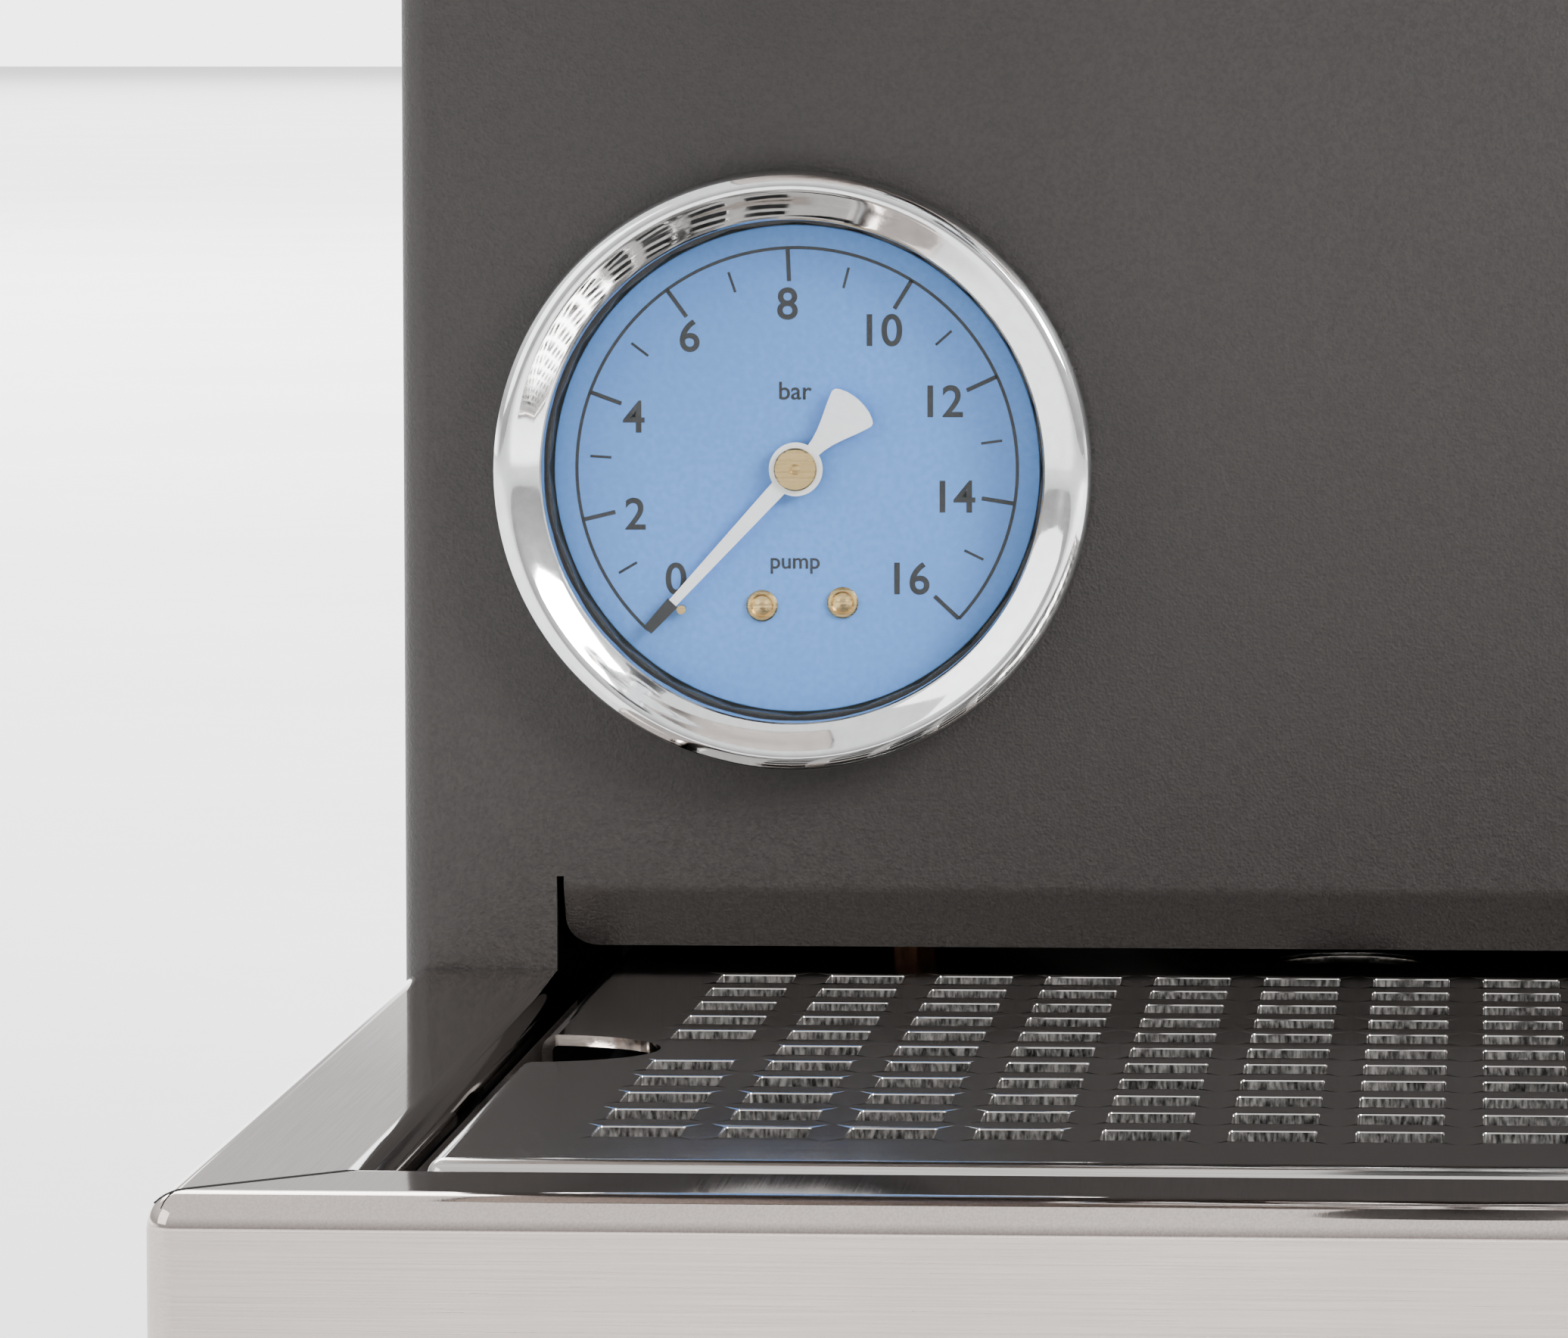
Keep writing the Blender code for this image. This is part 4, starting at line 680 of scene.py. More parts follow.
SHEET = 1.0
CUTOUT_HALF = 90.1
LIP_HALF = 89.4
LIP_BEND_Z = TRAY_HIGH.z + 8.6  # where the tongue over the tray starts to bend
LIP_ANGLE = math.atan2(3.4, 6.0)
LIP_INNER = 1.2
LIP_LENGTH = 7.2
SCREW_HOLE = 2.1


def half_length(front, back):
    """How far a folded sheet reaches from its middle, measured along the sheet."""
    return HALF_WIDTH - FOLD_RADIUS + math.pi / 2 * FOLD_RADIUS + back - front - FOLD_RADIUS


def body_shell():
    reach = half_length(PANEL_Y, SHELL_HIGH.y)
    low, high = SHELL_LOW.z, SHELL_HIGH.z
    tip = LIP_BEND_Z - LIP_LENGTH
    corner = 3.2
    outline = [(-reach, low), (-CUTOUT_HALF, low), (-CUTOUT_HALF, LIP_BEND_Z + 0.6)]
    outline += [(-LIP_HALF, LIP_BEND_Z + 0.6), (-LIP_HALF, LIP_BEND_Z)]
    outline += arc((-LIP_HALF + corner, tip + corner), corner, 180, 270, 8)
    outline += arc((LIP_HALF - corner, tip + corner), corner, 270, 360, 8)
    outline += [(LIP_HALF, LIP_BEND_Z), (LIP_HALF, LIP_BEND_Z + 0.6), (CUTOUT_HALF, LIP_BEND_Z + 0.6)]
    outline += [(CUTOUT_HALF, low), (reach, low), (reach, high), (-reach, high)]
    holes = [circle((GAUGE.x, GAUGE.z), 25.3, 64)]
    holes.append(rectangle((-88, 88), (HEAD_LOW.z + 6, high - 8), 4.0))
    holes += [circle(place, SCREW_HOLE, 20) for place in side_screws()]
    lip = (LIP_BEND_Z, LIP_HALF, LIP_ANGLE, LIP_INNER)
    shape = folded(outline, SHEET, HALF_WIDTH, PANEL_Y, holes, lip)
    shell = edge(to_object("front_and_sides", shape, "powder"), 0.22, 50)
    return settle(shell, "chassis", "powder_coat", "body_shell")


def side_screws():
    rear = SHELL_HIGH.y - 9
    front = PANEL_Y + 14
    heights = (SHELL_LOW.z + 14, (SHELL_LOW.z + SHELL_HIGH.z) / 2, SHELL_HIGH.z - 12)
    places = [(half_length(PANEL_Y, y), z) for y in (front, rear) for z in heights]
    return places + [(-along, z) for along, z in places]


def screw_stamp():
    """A countersunk screw with a six-sided socket, its face level with Z = 0."""
    head = [(0, -1.3), (1.2, -1.3), (1.95, -0.30), (1.95, -0.08), (1.8, 0), (1.02, 0), (1.02, -0.75), (0, -0.75)]
    return to_object("screw", turned(head, (0, 0, 0), steps=24), "steel_satin", 25)


def shell_screws():
    """The screws down both sides and round the rear panel."""
    quarter = math.pi / 2
    outset = 0.10
    sides = []
    for side in (-1, 1):
        points = []
        for along, z in side_screws():
            if side * along > 0:
                y = PANEL_Y + FOLD_RADIUS + abs(along) - half_length(PANEL_Y, PANEL_Y + FOLD_RADIUS)
                points.append((side * (HALF_WIDTH - outset), y, z))
        turn = (0.0, side * quarter, 0.0)
        sides.append(grow(f"side_screws_{side + 1}", POINTS, screw_stamp(), "steel_satin", {"Turn": turn}, points))
    rear = [(x, corners("rear_panel")[1].y - outset, z) for x, z in rear_screws()]
    turn = (-quarter, 0.0, 0.0)
    sides.append(grow("rear_screws", POINTS, screw_stamp(), "steel_satin", {"Turn": turn}, rear))
    return settle(merge("casing_screws", sides), "chassis", "brushed_steel")


def rear_screws():
    low, high = corners("rear_panel")
    inset = 8.0
    xs = (-HALF_WIDTH + inset, HALF_WIDTH - inset)
    heights = [low.z + inset + (high.z - low.z - 2 * inset) * k / 3 for k in range(4)]
    return [(x, z) for x in xs for z in heights] + [(0.0, low.z + inset), (0.0, high.z - inset)]


def rear_panel():
    low, high = corners("rear_panel")
    slots = []
    for block_z in (196.0, 288.0):
        for k in range(6):
            z = block_z + k * 8.0
            slots += [rectangle((x, x + 30), (z, z + 3.2), 1.59, 5) for x in (-52, -15, 22)]
    inlet = corners("inlet_socket")
    clear = 0.3
    hole = rectangle((inlet[0].x - clear, inlet[1].x + clear), (inlet[0].z - clear, inlet[1].z + clear), 1.0)
    holes = slots + [hole] + [circle(place, SCREW_HOLE, 20) for place in rear_screws()]
    outline = rectangle((low.x, high.x), (low.z, high.z))
    panel = to_object("back_panel", sheet(outline, low.y, high.y, holes, FACING_FRONT), "powder")
    return settle(keep_flat(panel), "chassis", "powder_coat", "rear_panel")


def head_shell():
    reach = half_length(HEAD_FRONT, HEAD_HIGH.y)
    display, switches = corners("display_module"), corners("switch_block")
    lap = 2.0
    holes = [circle((KNOB.x, KNOB.z), 4.0, 32)]
    for low, high in (display, switches):
        holes.append(rectangle((low.x + lap, high.x - lap), (low.z + lap, high.z - lap), 1.0))
    outline = rectangle((-reach, reach), (HEAD_LOW.z, HEAD_HIGH.z))
    shell = to_object("head_cover", folded(outline, SHEET, HALF_WIDTH, HEAD_FRONT, holes), "powder")
    return settle(edge(shell, 0.22, 50), "chassis", "powder_coat", "head_shell")


def head_underside():
    low, high = corners("head_underside")
    front = low.y + FOLD_RADIUS - SHEET
    outline = [(low.x, high.y), *arc((low.x + 2, front), 2.0, 180, 270, 5)]
    outline += [*arc((high.x - 2, front), 2.0, 270, 360, 5), (high.x, high.y)]
    holes = [circle((0, GROUP.y), corners("group_head")[1].x - 4.8, 96), circle((WAND.x, WAND.y), 6.0, 32)]
    holes += [circle((x, y), SCREW_HOLE, 20) for x, y in underside_screws()]
    plate = to_object("head_floor", sheet(outline, low.z, high.z, holes), "steel_satin")
    settle(edge(plate, 0.15, 50), "chassis", "brushed_steel", "head_underside")
    points = [(x, y, low.z + 0.1) for x, y in underside_screws()]
    screws = grow("underside_screws", POINTS, screw_stamp(), "steel_satin", {"Turn": (math.pi, 0.0, 0.0)}, points)
    return settle(screws, "chassis", "brushed_steel")


def underside_screws():
    low, high = corners("head_underside")
    inset = 9.0
    return [(x, y) for x in (low.x + inset, high.x - inset) for y in (low.y + inset, high.y - inset)]


def top_and_lid():
    low, high = corners("top_plate")
    slots = []
    columns, rows, pitch_x, pitch_y, wide, long = 9, 3, 20.0, 66.0, 5.0, 48.0
    for column in range(columns):
        for row in range(rows):
            x = (column - (columns - 1) / 2) * pitch_x
            y = (low.y + high.y) / 2 + (row - 1) * pitch_y
            slots.append(rectangle((x - wide / 2, x + wide / 2), (y - long / 2, y + long / 2), wide / 2 - 0.01, 6))
    bend = 2.5
    outline = [(low.x, high.y), *arc((low.x + bend, low.y + bend), bend, 180, 270, 8)]
    outline += [*arc((high.x - bend, low.y + bend), bend, 270, 360, 8), (high.x, high.y)]
    plate = to_object("cup_plate", sheet(outline, low.z, high.z, slots), "steel_side")
    settle(edge(plate, 0.5, 50, 3), "chassis", "brushed_steel", "top_plate")
    low, high = corners("tank_lid")
    notch = 11.0
    outline = [(low.x, low.y), *arc((0, low.y), notch, 180, 0, 24), (high.x, low.y)]
    outline += arc((high.x - bend, high.y - bend), bend, 0, 90, 8)
    outline += arc((low.x + bend, high.y - bend), bend, 90, 180, 8)
    lid = to_object("tank_cover", sheet(outline, low.z, high.z), "steel_side")
    settle(edge(lid, 0.5, 50, 3), "tank_lid", "brushed_steel", "tank_lid")


def cup_rail():
    low, high = corners("cup_rail")
    wire, inset, straight = 2.5, 7.0, {"Turn": (0.0, 0.0, 0.0)}
    x = HALF_WIDTH - inset
    front, back = HEAD_FRONT + inset, corners("top_plate")[1].y - inset
    top = high.z - wire
    path = [(-x, back, low.z), (-x, back, top), (-x, front, top), (x, front, top), (x, back, top), (x, back, low.z)]
    piece("rail_wire", rod(rounded_path(path, 12.0, 10), wire), "chrome", "chassis", "polished_steel", "cup_rail")
    middle, rise = (front + back) / 2, top - low.z
    posts = [(-x, middle), (x, middle), (-x + 40, front), (x - 40, front)]
    post = [(0, 0), (4.2, 0), (4.2, 1.0), (3.0, 2.0), (2.0, 2.6), (2.0, rise), (0, rise)]
    collar = [(2.6, 0), (5.0, 0), (5.0, 0.8), (3.6, 1.8), (2.6, 1.8)]
    for name, profile, places in (("posts", post, posts), ("collars", collar, [(-x, back), (x, back)])):
        stamp = to_object(name, turned(profile, (0, 0, 0), steps=24), "chrome")
        grown = grow(f"rail_{name}", POINTS, stamp, "chrome", straight, [(px, py, low.z) for px, py in places])
        settle(grown, "chassis", "polished_steel")


# Drip tray

FRAME_STRIP = 17.5
FRAME_SHEET = 1.2
COLUMNS, ROWS, OPEN_ROW = 14, 11, 5
PITCH_X, PITCH_Y = 10.65, 11.59
HOLE_X, HOLE_Y = 7.3, 7.0
NOTCH_DEEP, NOTCH_LONG = 12.0, 21.0
DRAIN, DRAIN_RADIUS = (-11.5, PANEL_Y + 8.0), 7.0
FIELD_Y = PANEL_Y - 8.6 - HOLE_Y / 2 - (ROWS - 1) / 2 * PITCH_Y


def tray_frame():
    low, high = TRAY_LOW, TRAY_HIGH
    bend, wide, thick, hem = 3.0, FRAME_STRIP, FRAME_SHEET, 6.5
    top = high.z - bend
    inner = bend - thick
    profile = [(0, low.z), *arc((bend, top), bend, 180, 90, 10), *arc((wide - bend, top), bend, 90, 0, 10)]
    profile += [(wide, high.z - hem), (wide - thick, high.z - hem)]
    profile += [*arc((wide - bend, top), inner, 0, 90, 5), *arc((bend, top), inner, 90, 180, 5), (thick, low.z)]
    shape = rim_path(profile, HALF_WIDTH, low.y, high.y, 2.5)
    for face in shape.faces:
        middle = face.calc_center_median()
        if middle.z < top and abs(face.normal.z) < 0.3:
            on_side = abs(middle.x) > HALF_WIDTH - 2.6 and middle.y > low.y + 2.6
            face.material_index = 2 if on_side else 1
    frame_piece = to_object("tray_surround", shape, ["steel_polished", "steel_satin", "steel_side"])
    settle(keep_flat(frame_piece), "drip_tray", "polished_steel", "tray_frame")
    # Painted shade: a thin dark rod along each front corner's mitre stands for the shade inside the gap there, in place
    # of a real groove.
    gap_shades = []
    across = profile[1:23]
    for side in (-1, 1):
        path = [(side * (HALF_WIDTH - inward), low.y + inward, z) for inward, z in across if inward > 0.6]
        gap_shades.append(to_object("seam", rod(path, 0.09, 6), "joint"))
    return settle(merge("mitre_joints", gap_shades), "drip_tray", "polished_steel")


def grille():
    low, high = GRILLE_LOW, GRILLE_HIGH
    bend, thick = 1.5, SHEET
    cell = grille_cell(high.z, thick)
    sizes = {"Columns": COLUMNS, "Rows": ROWS, "Pitch X": PITCH_X, "Pitch Y": PITCH_Y, "Open row": OPEN_ROW}
    sizes["Centre"] = (0.0, FIELD_Y, 0.0)
    field = grow("grille_field", GRID, cell, "steel_plate", sizes)
    outline = [(low.x + bend, high.y)]
    bow = arc((0, 0), 1.0, 83, -83, 20)
    notch = [(low.x + NOTCH_DEEP * u, FIELD_Y + v * NOTCH_LONG / 2) for u, v in bow]
    outline += [(low.x + bend, notch[0][1]), *notch, (low.x + bend, notch[-1][1]), (low.x + bend, low.y + bend)]
    outline += [(-x, y) for x, y in reversed(outline)]
    border = sheet(outline, high.z - thick, high.z, [field_outline(), circle(DRAIN, DRAIN_RADIUS, 40)])
    for face in [f for f in border.faces if on_field_edge(f)]:
        border.faces.remove(face)
    rim_edges = [e for e in border.edges if on_rim(e, high.z)]
    bmesh.ops.bevel(border, geom=rim_edges, offset=0.4, segments=3, profile=0.5, affect="EDGES")
    plate = to_object("grille_border", border, "steel_plate")
    profile = [(0, low.z), *arc((bend, high.z - bend), bend, 180, 90, 6)]
    profile += [*arc((bend, high.z - bend), bend - thick, 90, 180, 3), (thick, low.z)]
    skirt = to_object("grille_skirt", rim_path(profile, high.x, low.y, high.y, bend, 4), "steel_plate")
    for side in (-1, 1):
        cutter = turned(rectangle((0, 1), (-20, 20)), (0, 0, 0), steps=64)
        cutter.transform(Matrix.Diagonal((NOTCH_DEEP, NOTCH_LONG / 2, 1, 1)))
        cutter.transform(Matrix.Translation((side * high.x, FIELD_Y, high.z)))
        carve(skirt, cutter)
    whole = merge("grille_plate", [field, plate, skirt])
    walls = grow("hole_walls", GRID, grille_cell(high.z, thick, True), "punched_edge", sizes)
    settle(walls, "drip_tray", "brushed_steel")
    tidy = bmesh.new()
    tidy.from_mesh(whole.data)
    bmesh.ops.remove_doubles(tidy, verts=tidy.verts, dist=0.004 * MM)
    tidy.to_mesh(whole.data)
    tidy.free()
    return settle(keep_flat(whole), "drip_tray", "brushed_steel", "tray_grille")


def grille_cell(top, thick, walls_only=False):
    """One square of the plate with its punched hole, or only the hole's rough walls."""
    square = rectangle((-PITCH_X / 2, PITCH_X / 2), (-PITCH_Y / 2, PITCH_Y / 2))
    hole = rectangle((-HOLE_X / 2, HOLE_X / 2), (-HOLE_Y / 2, HOLE_Y / 2), 0.3, 3)
    cell = sheet(square, top - thick, top, [hole])
    for face in [f for f in cell.faces if abs(f.normal.z) < 0.5 and at_cell_side(f)]:
        cell.faces.remove(face)
    inner = [v for v in cell.verts if abs(v.co.x) < PITCH_X / 2 - 0.5 and abs(v.co.y) < PITCH_Y / 2 - 0.5]
    upper = {v for v in inner if abs(v.co.z - top) < 1e-4}
    at_wall = {e for f in cell.faces if top - f.calc_center_median().z > 0.1 for e in f.edges}
    rim = [e for e in cell.edges if e in at_wall and upper.issuperset(e.verts)]
    bmesh.ops.bevel(cell, geom=rim, offset=0.14, segments=2, profile=0.5, affect="EDGES")
    bmesh.ops.recalc_face_normals(cell, faces=cell.faces)
    for face in cell.faces[:]:
        upright = abs(face.normal.z) < 0.1
        if upright != walls_only:
            cell.faces.remove(face)
    cell.transform(Matrix.Scale(MM, 4))
    mesh = bpy.data.meshes.new("grille_cell")
    cell.to_mesh(mesh)
    cell.free()
    return mesh_object("grille_cell", mesh, "steel_plate")


def at_cell_side(face):
    middle = face.calc_center_median()
    return abs(abs(middle.x) - PITCH_X / 2) < 1e-3 or abs(abs(middle.y) - PITCH_Y / 2) < 1e-3


def field_outline():
    """Round the cells, with a point at each cell's corner, stepping in at the two missing cells."""
    xs = [(k - COLUMNS / 2) * PITCH_X for k in range(COLUMNS + 1)]
    ys = [FIELD_Y + (k - ROWS / 2) * PITCH_Y for k in range(ROWS + 1)]
    points = [(x, ys[0]) for x in xs]
    points += [(xs[-1], y) for y in ys[1 : OPEN_ROW + 1]] + [(xs[-2], ys[OPEN_ROW]), (xs[-2], ys[OPEN_ROW + 1])]
    points += [(xs[-1], y) for y in ys[OPEN_ROW + 1 :]]
    points += [(x, ys[-1]) for x in reversed(xs[:-1])]
    points += [(xs[0], y) for y in reversed(ys[OPEN_ROW + 1 : -1])]
    points += [(xs[1], ys[OPEN_ROW + 1]), (xs[1], ys[OPEN_ROW])]
    points += [(xs[0], y) for y in reversed(ys[1 : OPEN_ROW + 1])]
    return points


def on_field_edge(face):
    """Whether an upright face stands on the field's outline, where the cells join on."""
    if abs(face.normal.z) > 0.5:
        return False
    middle = face.calc_center_median()
    inside_x = abs(middle.x) < COLUMNS / 2 * PITCH_X + 1e-3
    inside_y = abs(middle.y - FIELD_Y) < ROWS / 2 * PITCH_Y + 1e-3
    return inside_x and inside_y and not near_notch(middle)


def near_notch(place):
    """Whether a place lies on a finger notch's curve."""
    u = (GRILLE_HIGH.x - abs(place.x)) / NOTCH_DEEP
    v = (place.y - FIELD_Y) / (NOTCH_LONG / 2)
    return abs(math.hypot(u, v) - 1) < 0.03


def on_rim(candidate, top):
    """Whether an edge is the upper rim of the drain hole."""
    if any(abs(v.co.z - top) > 1e-4 for v in candidate.verts):
        return False
    return all(abs((v.co.xy - Vector(DRAIN)).length - DRAIN_RADIUS) < 0.05 for v in candidate.verts)


# Gauge

OUT = (0, -1, 0)
DIAL_TURN = math.radians(2.3)
ZERO = math.radians(225) + DIAL_TURN
FULL = math.radians(270)
DIAL_FACE = 0.6  # behind the panel's face
MARK = (DIAL_FACE - 0.03, DIAL_FACE + 0.02)


def gauge_bezel():
    roll = arc((28.0, 5.75), 1.45, -6, 118, 16)
    profile = [(25.3, 0.3), (29.1, 0.3), (29.4, 0.7), *roll, (26.6, 6.55), (25.15, 5.62), (24.85, 5.52)]
    profile += [(24.7, 5.35), (24.65, 5.1), (24.65, 1.8), (25.3, 1.8)]
    ring = turned(profile, GAUGE, OUT, 160)
    return piece("bezel_ring", ring, "chrome", "chassis", "polished_steel", "gauge_bezel", sharp=28)


# Where the figures 0, 2, ... 16 stand from the dial's middle, clear of the scale's lines
FIGURE_PLACES = (
    (-12.0, -11.1),
    (-16.0, -4.7),
    (-16.1, 4.9),
    (-10.6, 12.9),
    (-0.9, 16.1),
    (8.3, 13.5),
    (14.3, 6.5),
    (15.5, -2.9),
    (11.0, -11.0),
)


def dial_point(radius, angle):
    return GAUGE.x + radius * math.cos(angle), GAUGE.z + radius * math.sin(angle)


def gauge_dial():
    disc = soften([(1.4, -1.6), (24.05, -1.6), (24.05, -0.6), (1.4, -0.6)], 0.15)
    piece("dial_face", turned(disc, GAUGE, OUT, 128), "dial", "chassis", "dial_blue", "gauge_dial")
    outer = 21.8
    steps = 90
    angles = [ZERO - FULL * k / steps for k in range(steps + 1)]
    line = [dial_point(outer + 0.16, a) for a in angles] + [dial_point(outer - 0.16, a) for a in reversed(angles)]
    behind = (PANEL_Y + MARK[0], PANEL_Y + MARK[1])
    marks = [to_object("scale_line", sheet(line, *behind, lie=FACING_FRONT), "black_ink")]
    centre = (GAUGE.x, 0.0, GAUGE.z)
    rings = (
        ("even_ticks", 9, 18.5, 21.8, 0.42, ZERO, -FULL),
        ("odd_ticks", 8, 18.4, 20.5, 0.26, ZERO - FULL / 16, -FULL * 14 / 16),
    )
    for name, count, near, far, wide, start, sweep in rings:
        half = (far - near) / 2
        stamp = to_object("tick", block((-half, half), behind, (-wide / 2, wide / 2)), "black_ink")
        sizes = {"Count": count, "Radius": (near + far) / 2, "Start": start, "Sweep": sweep, "Centre": centre}
        marks.append(grow(name, RING, stamp, "black_ink", sizes))
    for k, (x, z) in enumerate(FIGURE_PLACES):
        marks.append(lettering(str(2 * k), 3.1, (GAUGE.x + x, GAUGE.z + z), weight=0.062))
    marks.append(lettering("bar", 1.75, (GAUGE.x - 0.2, GAUGE.z + 7.6), weight=0.03))
    marks.append(lettering("pump", 1.55, (GAUGE.x - 0.2, GAUGE.z - 9.2), weight=0.03))
    settle(merge("dial_marks", marks), "chassis", "black_plastic")
    rivet = [(0, 0), (1.56, 0), (1.56, 0.3), (1.4, 0.45), (1.15, 0.42), (0.95, 0.16), (0.45, 0.30), (0, 0.52)]
    rivets = []
    for side in (-4.0, 4.0):
        x, z = dial_point(math.hypot(side, 13.4), math.atan2(-13.4, side) + DIAL_TURN)
        rivets.append(to_object("rivet", turned(rivet, (x, PANEL_Y + DIAL_FACE, z), OUT, 32), "brass"))
    x, z = dial_point(18.0, ZERO + math.radians(3.4))
    pin = turned(rectangle((0, 0.45), (0, 1.1)), (x, PANEL_Y + DIAL_FACE, z), OUT, 20)
    rivets.append(to_object("stop_pin", pin, "brass"))
    return settle(merge("dial_rivets", rivets), "chassis", "brass")


def lettering(words, height, place, finish="black_ink", behind=MARK, y=None, weight=0.0):
    """Upright letters or figures, centred on a place in XZ, facing the front."""
    text = bpy.data.curves.new("lettering", "FONT")
    text.body = words
    text.size = height / 0.70
    text.align_x = "CENTER"
    text.align_y = "CENTER"
    text.extrude = (behind[1] - behind[0]) / 2
    text.offset = weight
    text.resolution_u = 6
    carrier = bpy.data.objects.new("lettering", text)
    bpy.context.collection.objects.link(carrier)
    mesh = bpy.data.meshes.new_from_object(carrier.evaluated_get(bpy.context.evaluated_depsgraph_get()))
    bpy.data.objects.remove(carrier)
    depth = (PANEL_Y if y is None else y) + sum(behind) / 2
    upright = Matrix.Translation((place[0], depth, place[1])) @ Matrix.Rotation(math.pi / 2, 4, "X")
    mesh.transform(Matrix.Scale(MM, 4) @ upright)
    return mesh_object("lettering", mesh, finish)


def gauge_needle():
    """The pointer, enamelled white with a black tip and a fan-shaped tail, and its brass hub."""
    behind = (PANEL_Y - 0.9, PANEL_Y - 0.5)
    to_world = Matrix.Rotation(ZERO, 2)

    def placed(points):
        turned_points = [to_world @ Vector(point) for point in points]
        return [(GAUGE.x + p.x, GAUGE.z + p.y) for p in turned_points]

    boss, tip, change = 2.65, 21.7, 18.0
    side = [(-2.55, 0.72), (-3.3, 0.82), (-4.3, 1.08), (-5.4, 1.5), (-6.6, 2.02), (-7.6, 2.42), (-8.15, 2.6)]
    side += [(-8.5, 2.52), (-8.75, 2.2), (-9.05, 1.5), (-9.22, 0.7)]
    fan = [*side, (-9.26, 0.0), *[(u, -v) for u, v in reversed(side)]]
    white = [*arc((0, 0), boss, 196, 342, 18), (change, -0.45), (change, 0.45), *arc((0, 0), boss, 18, 164, 18), *fan]
    pointer = sheet(placed(white), *behind, [circle((GAUGE.x, GAUGE.z), 1.3, 24)], FACING_FRONT)
    settle(edge(to_object("pointer", pointer, "white"), 0.06), "gauge_needle", "needle_white", "gauge_needle")
    black = [(change + 0.02, -0.66), (tip, -0.52), (tip, 0.52), (change + 0.02, 0.66)]
    piece("pointer_tip", sheet(placed(black), *behind, lie=FACING_FRONT), "black_ink", "gauge_needle", "black_plastic")
    hub = [(0, -6.9), (0.9, -6.9), (0.9, -0.2), (2.4, -0.2), (2.4, 0.2), (1.0, 0.2), (1.0, 1.0)]
    hub += [(1.95, 1.0), (2.12, 1.15), (2.12, 1.45), (1.98, 1.6), (0.52, 1.6), (0.42, 1.1), (0, 1.0)]
    return piece("pointer_hub", turned(hub, GAUGE, OUT, 48), "brass", "gauge_needle", "brass", "needle_hub")


def gauge_glass():
    pane = soften([(0, 2.0), (24.35, 2.0), (24.35, 3.2), (0, 3.2)], 0.2)
    return piece("dial_glass", turned(pane, GAUGE, OUT, 128), "glass", "chassis", "glass", "gauge_glass")


# Brewing

EAR_LIP = 3.3  # the height of the ledge that the portafilter's ears turn onto


def head_casting():
    """The group, whose two flanks are cut away inside for the portafilter's ears."""
    low, high = corners("group_head")
    flange, radius = high.x, high.x - 5.5
    ceiling = corners("group_gasket")[1].z + GAP
    lock = radius - 4.3
    flange_low = corners("head_underside")[1].z + GAP
    profile = [(3, high.z), (flange, high.z), (flange, flange_low)]
    profile += moved([(1.2, 0), (1.2, -4.0), (0, -5.2)], radius, flange_low)
    profile += moved([(0, 9.0), (-0.8, 8.2), (-0.8, 6.8), (0, 6.0), (0, 2.2), (-2.2, 0)], radius, low.z)
    profile += moved([(-4, 0), (-4, EAR_LIP), (0, EAR_LIP)], lock, low.z) + [(lock, ceiling), (3, ceiling)]
    casting = to_object("group_casting", turned(soften(profile, 0.6), GROUP_AXIS, steps=128), "chrome")
    slot = block((-lock, lock), (-13, 13), (low.z - 1, low.z + EAR_LIP + 1))
    slot.transform(Matrix.Translation(GROUP_AXIS) @ Matrix.Rotation(math.radians(-50), 4, "Z"))
    return settle(carve(casting, slot), "chassis", "chrome", "group_head")


def screen_and_seal():
    low, high = corners("shower_screen")
    radius = high.x
    profile = [(0, low.z), (radius - 1, low.z), (radius, low.z + 1), (radius, high.z), (radius - 0.8, high.z)]
    profile += moved([(radius - 0.8, 1.1), (radius - 1.4, 0.7), (0, 0.7)], 0, low.z)
    disc = turned(profile, GROUP_AXIS)
    piece("shower_screen_disc", disc, "steel_satin", "chassis", "brushed_steel", "shower_screen")
    seal_low, seal_high = corners("group_gasket")
    seal = soften(rectangle((radius + 1.1, seal_high.x), (seal_low.z, seal_high.z)), 0.5)
    piece("group_seal", turned(seal, GROUP_AXIS), "rubber", "chassis", "rubber", "group_gasket")
    screw = moved([(0, -1.0), (3.4, -1.0), (4.2, -0.3), (4.2, 0.1), (0, 0.1)], 0, low.z)
    return piece("screen_screw", turned(screw, GROUP_AXIS, steps=32), "steel_satin", "chassis", "brushed_steel")


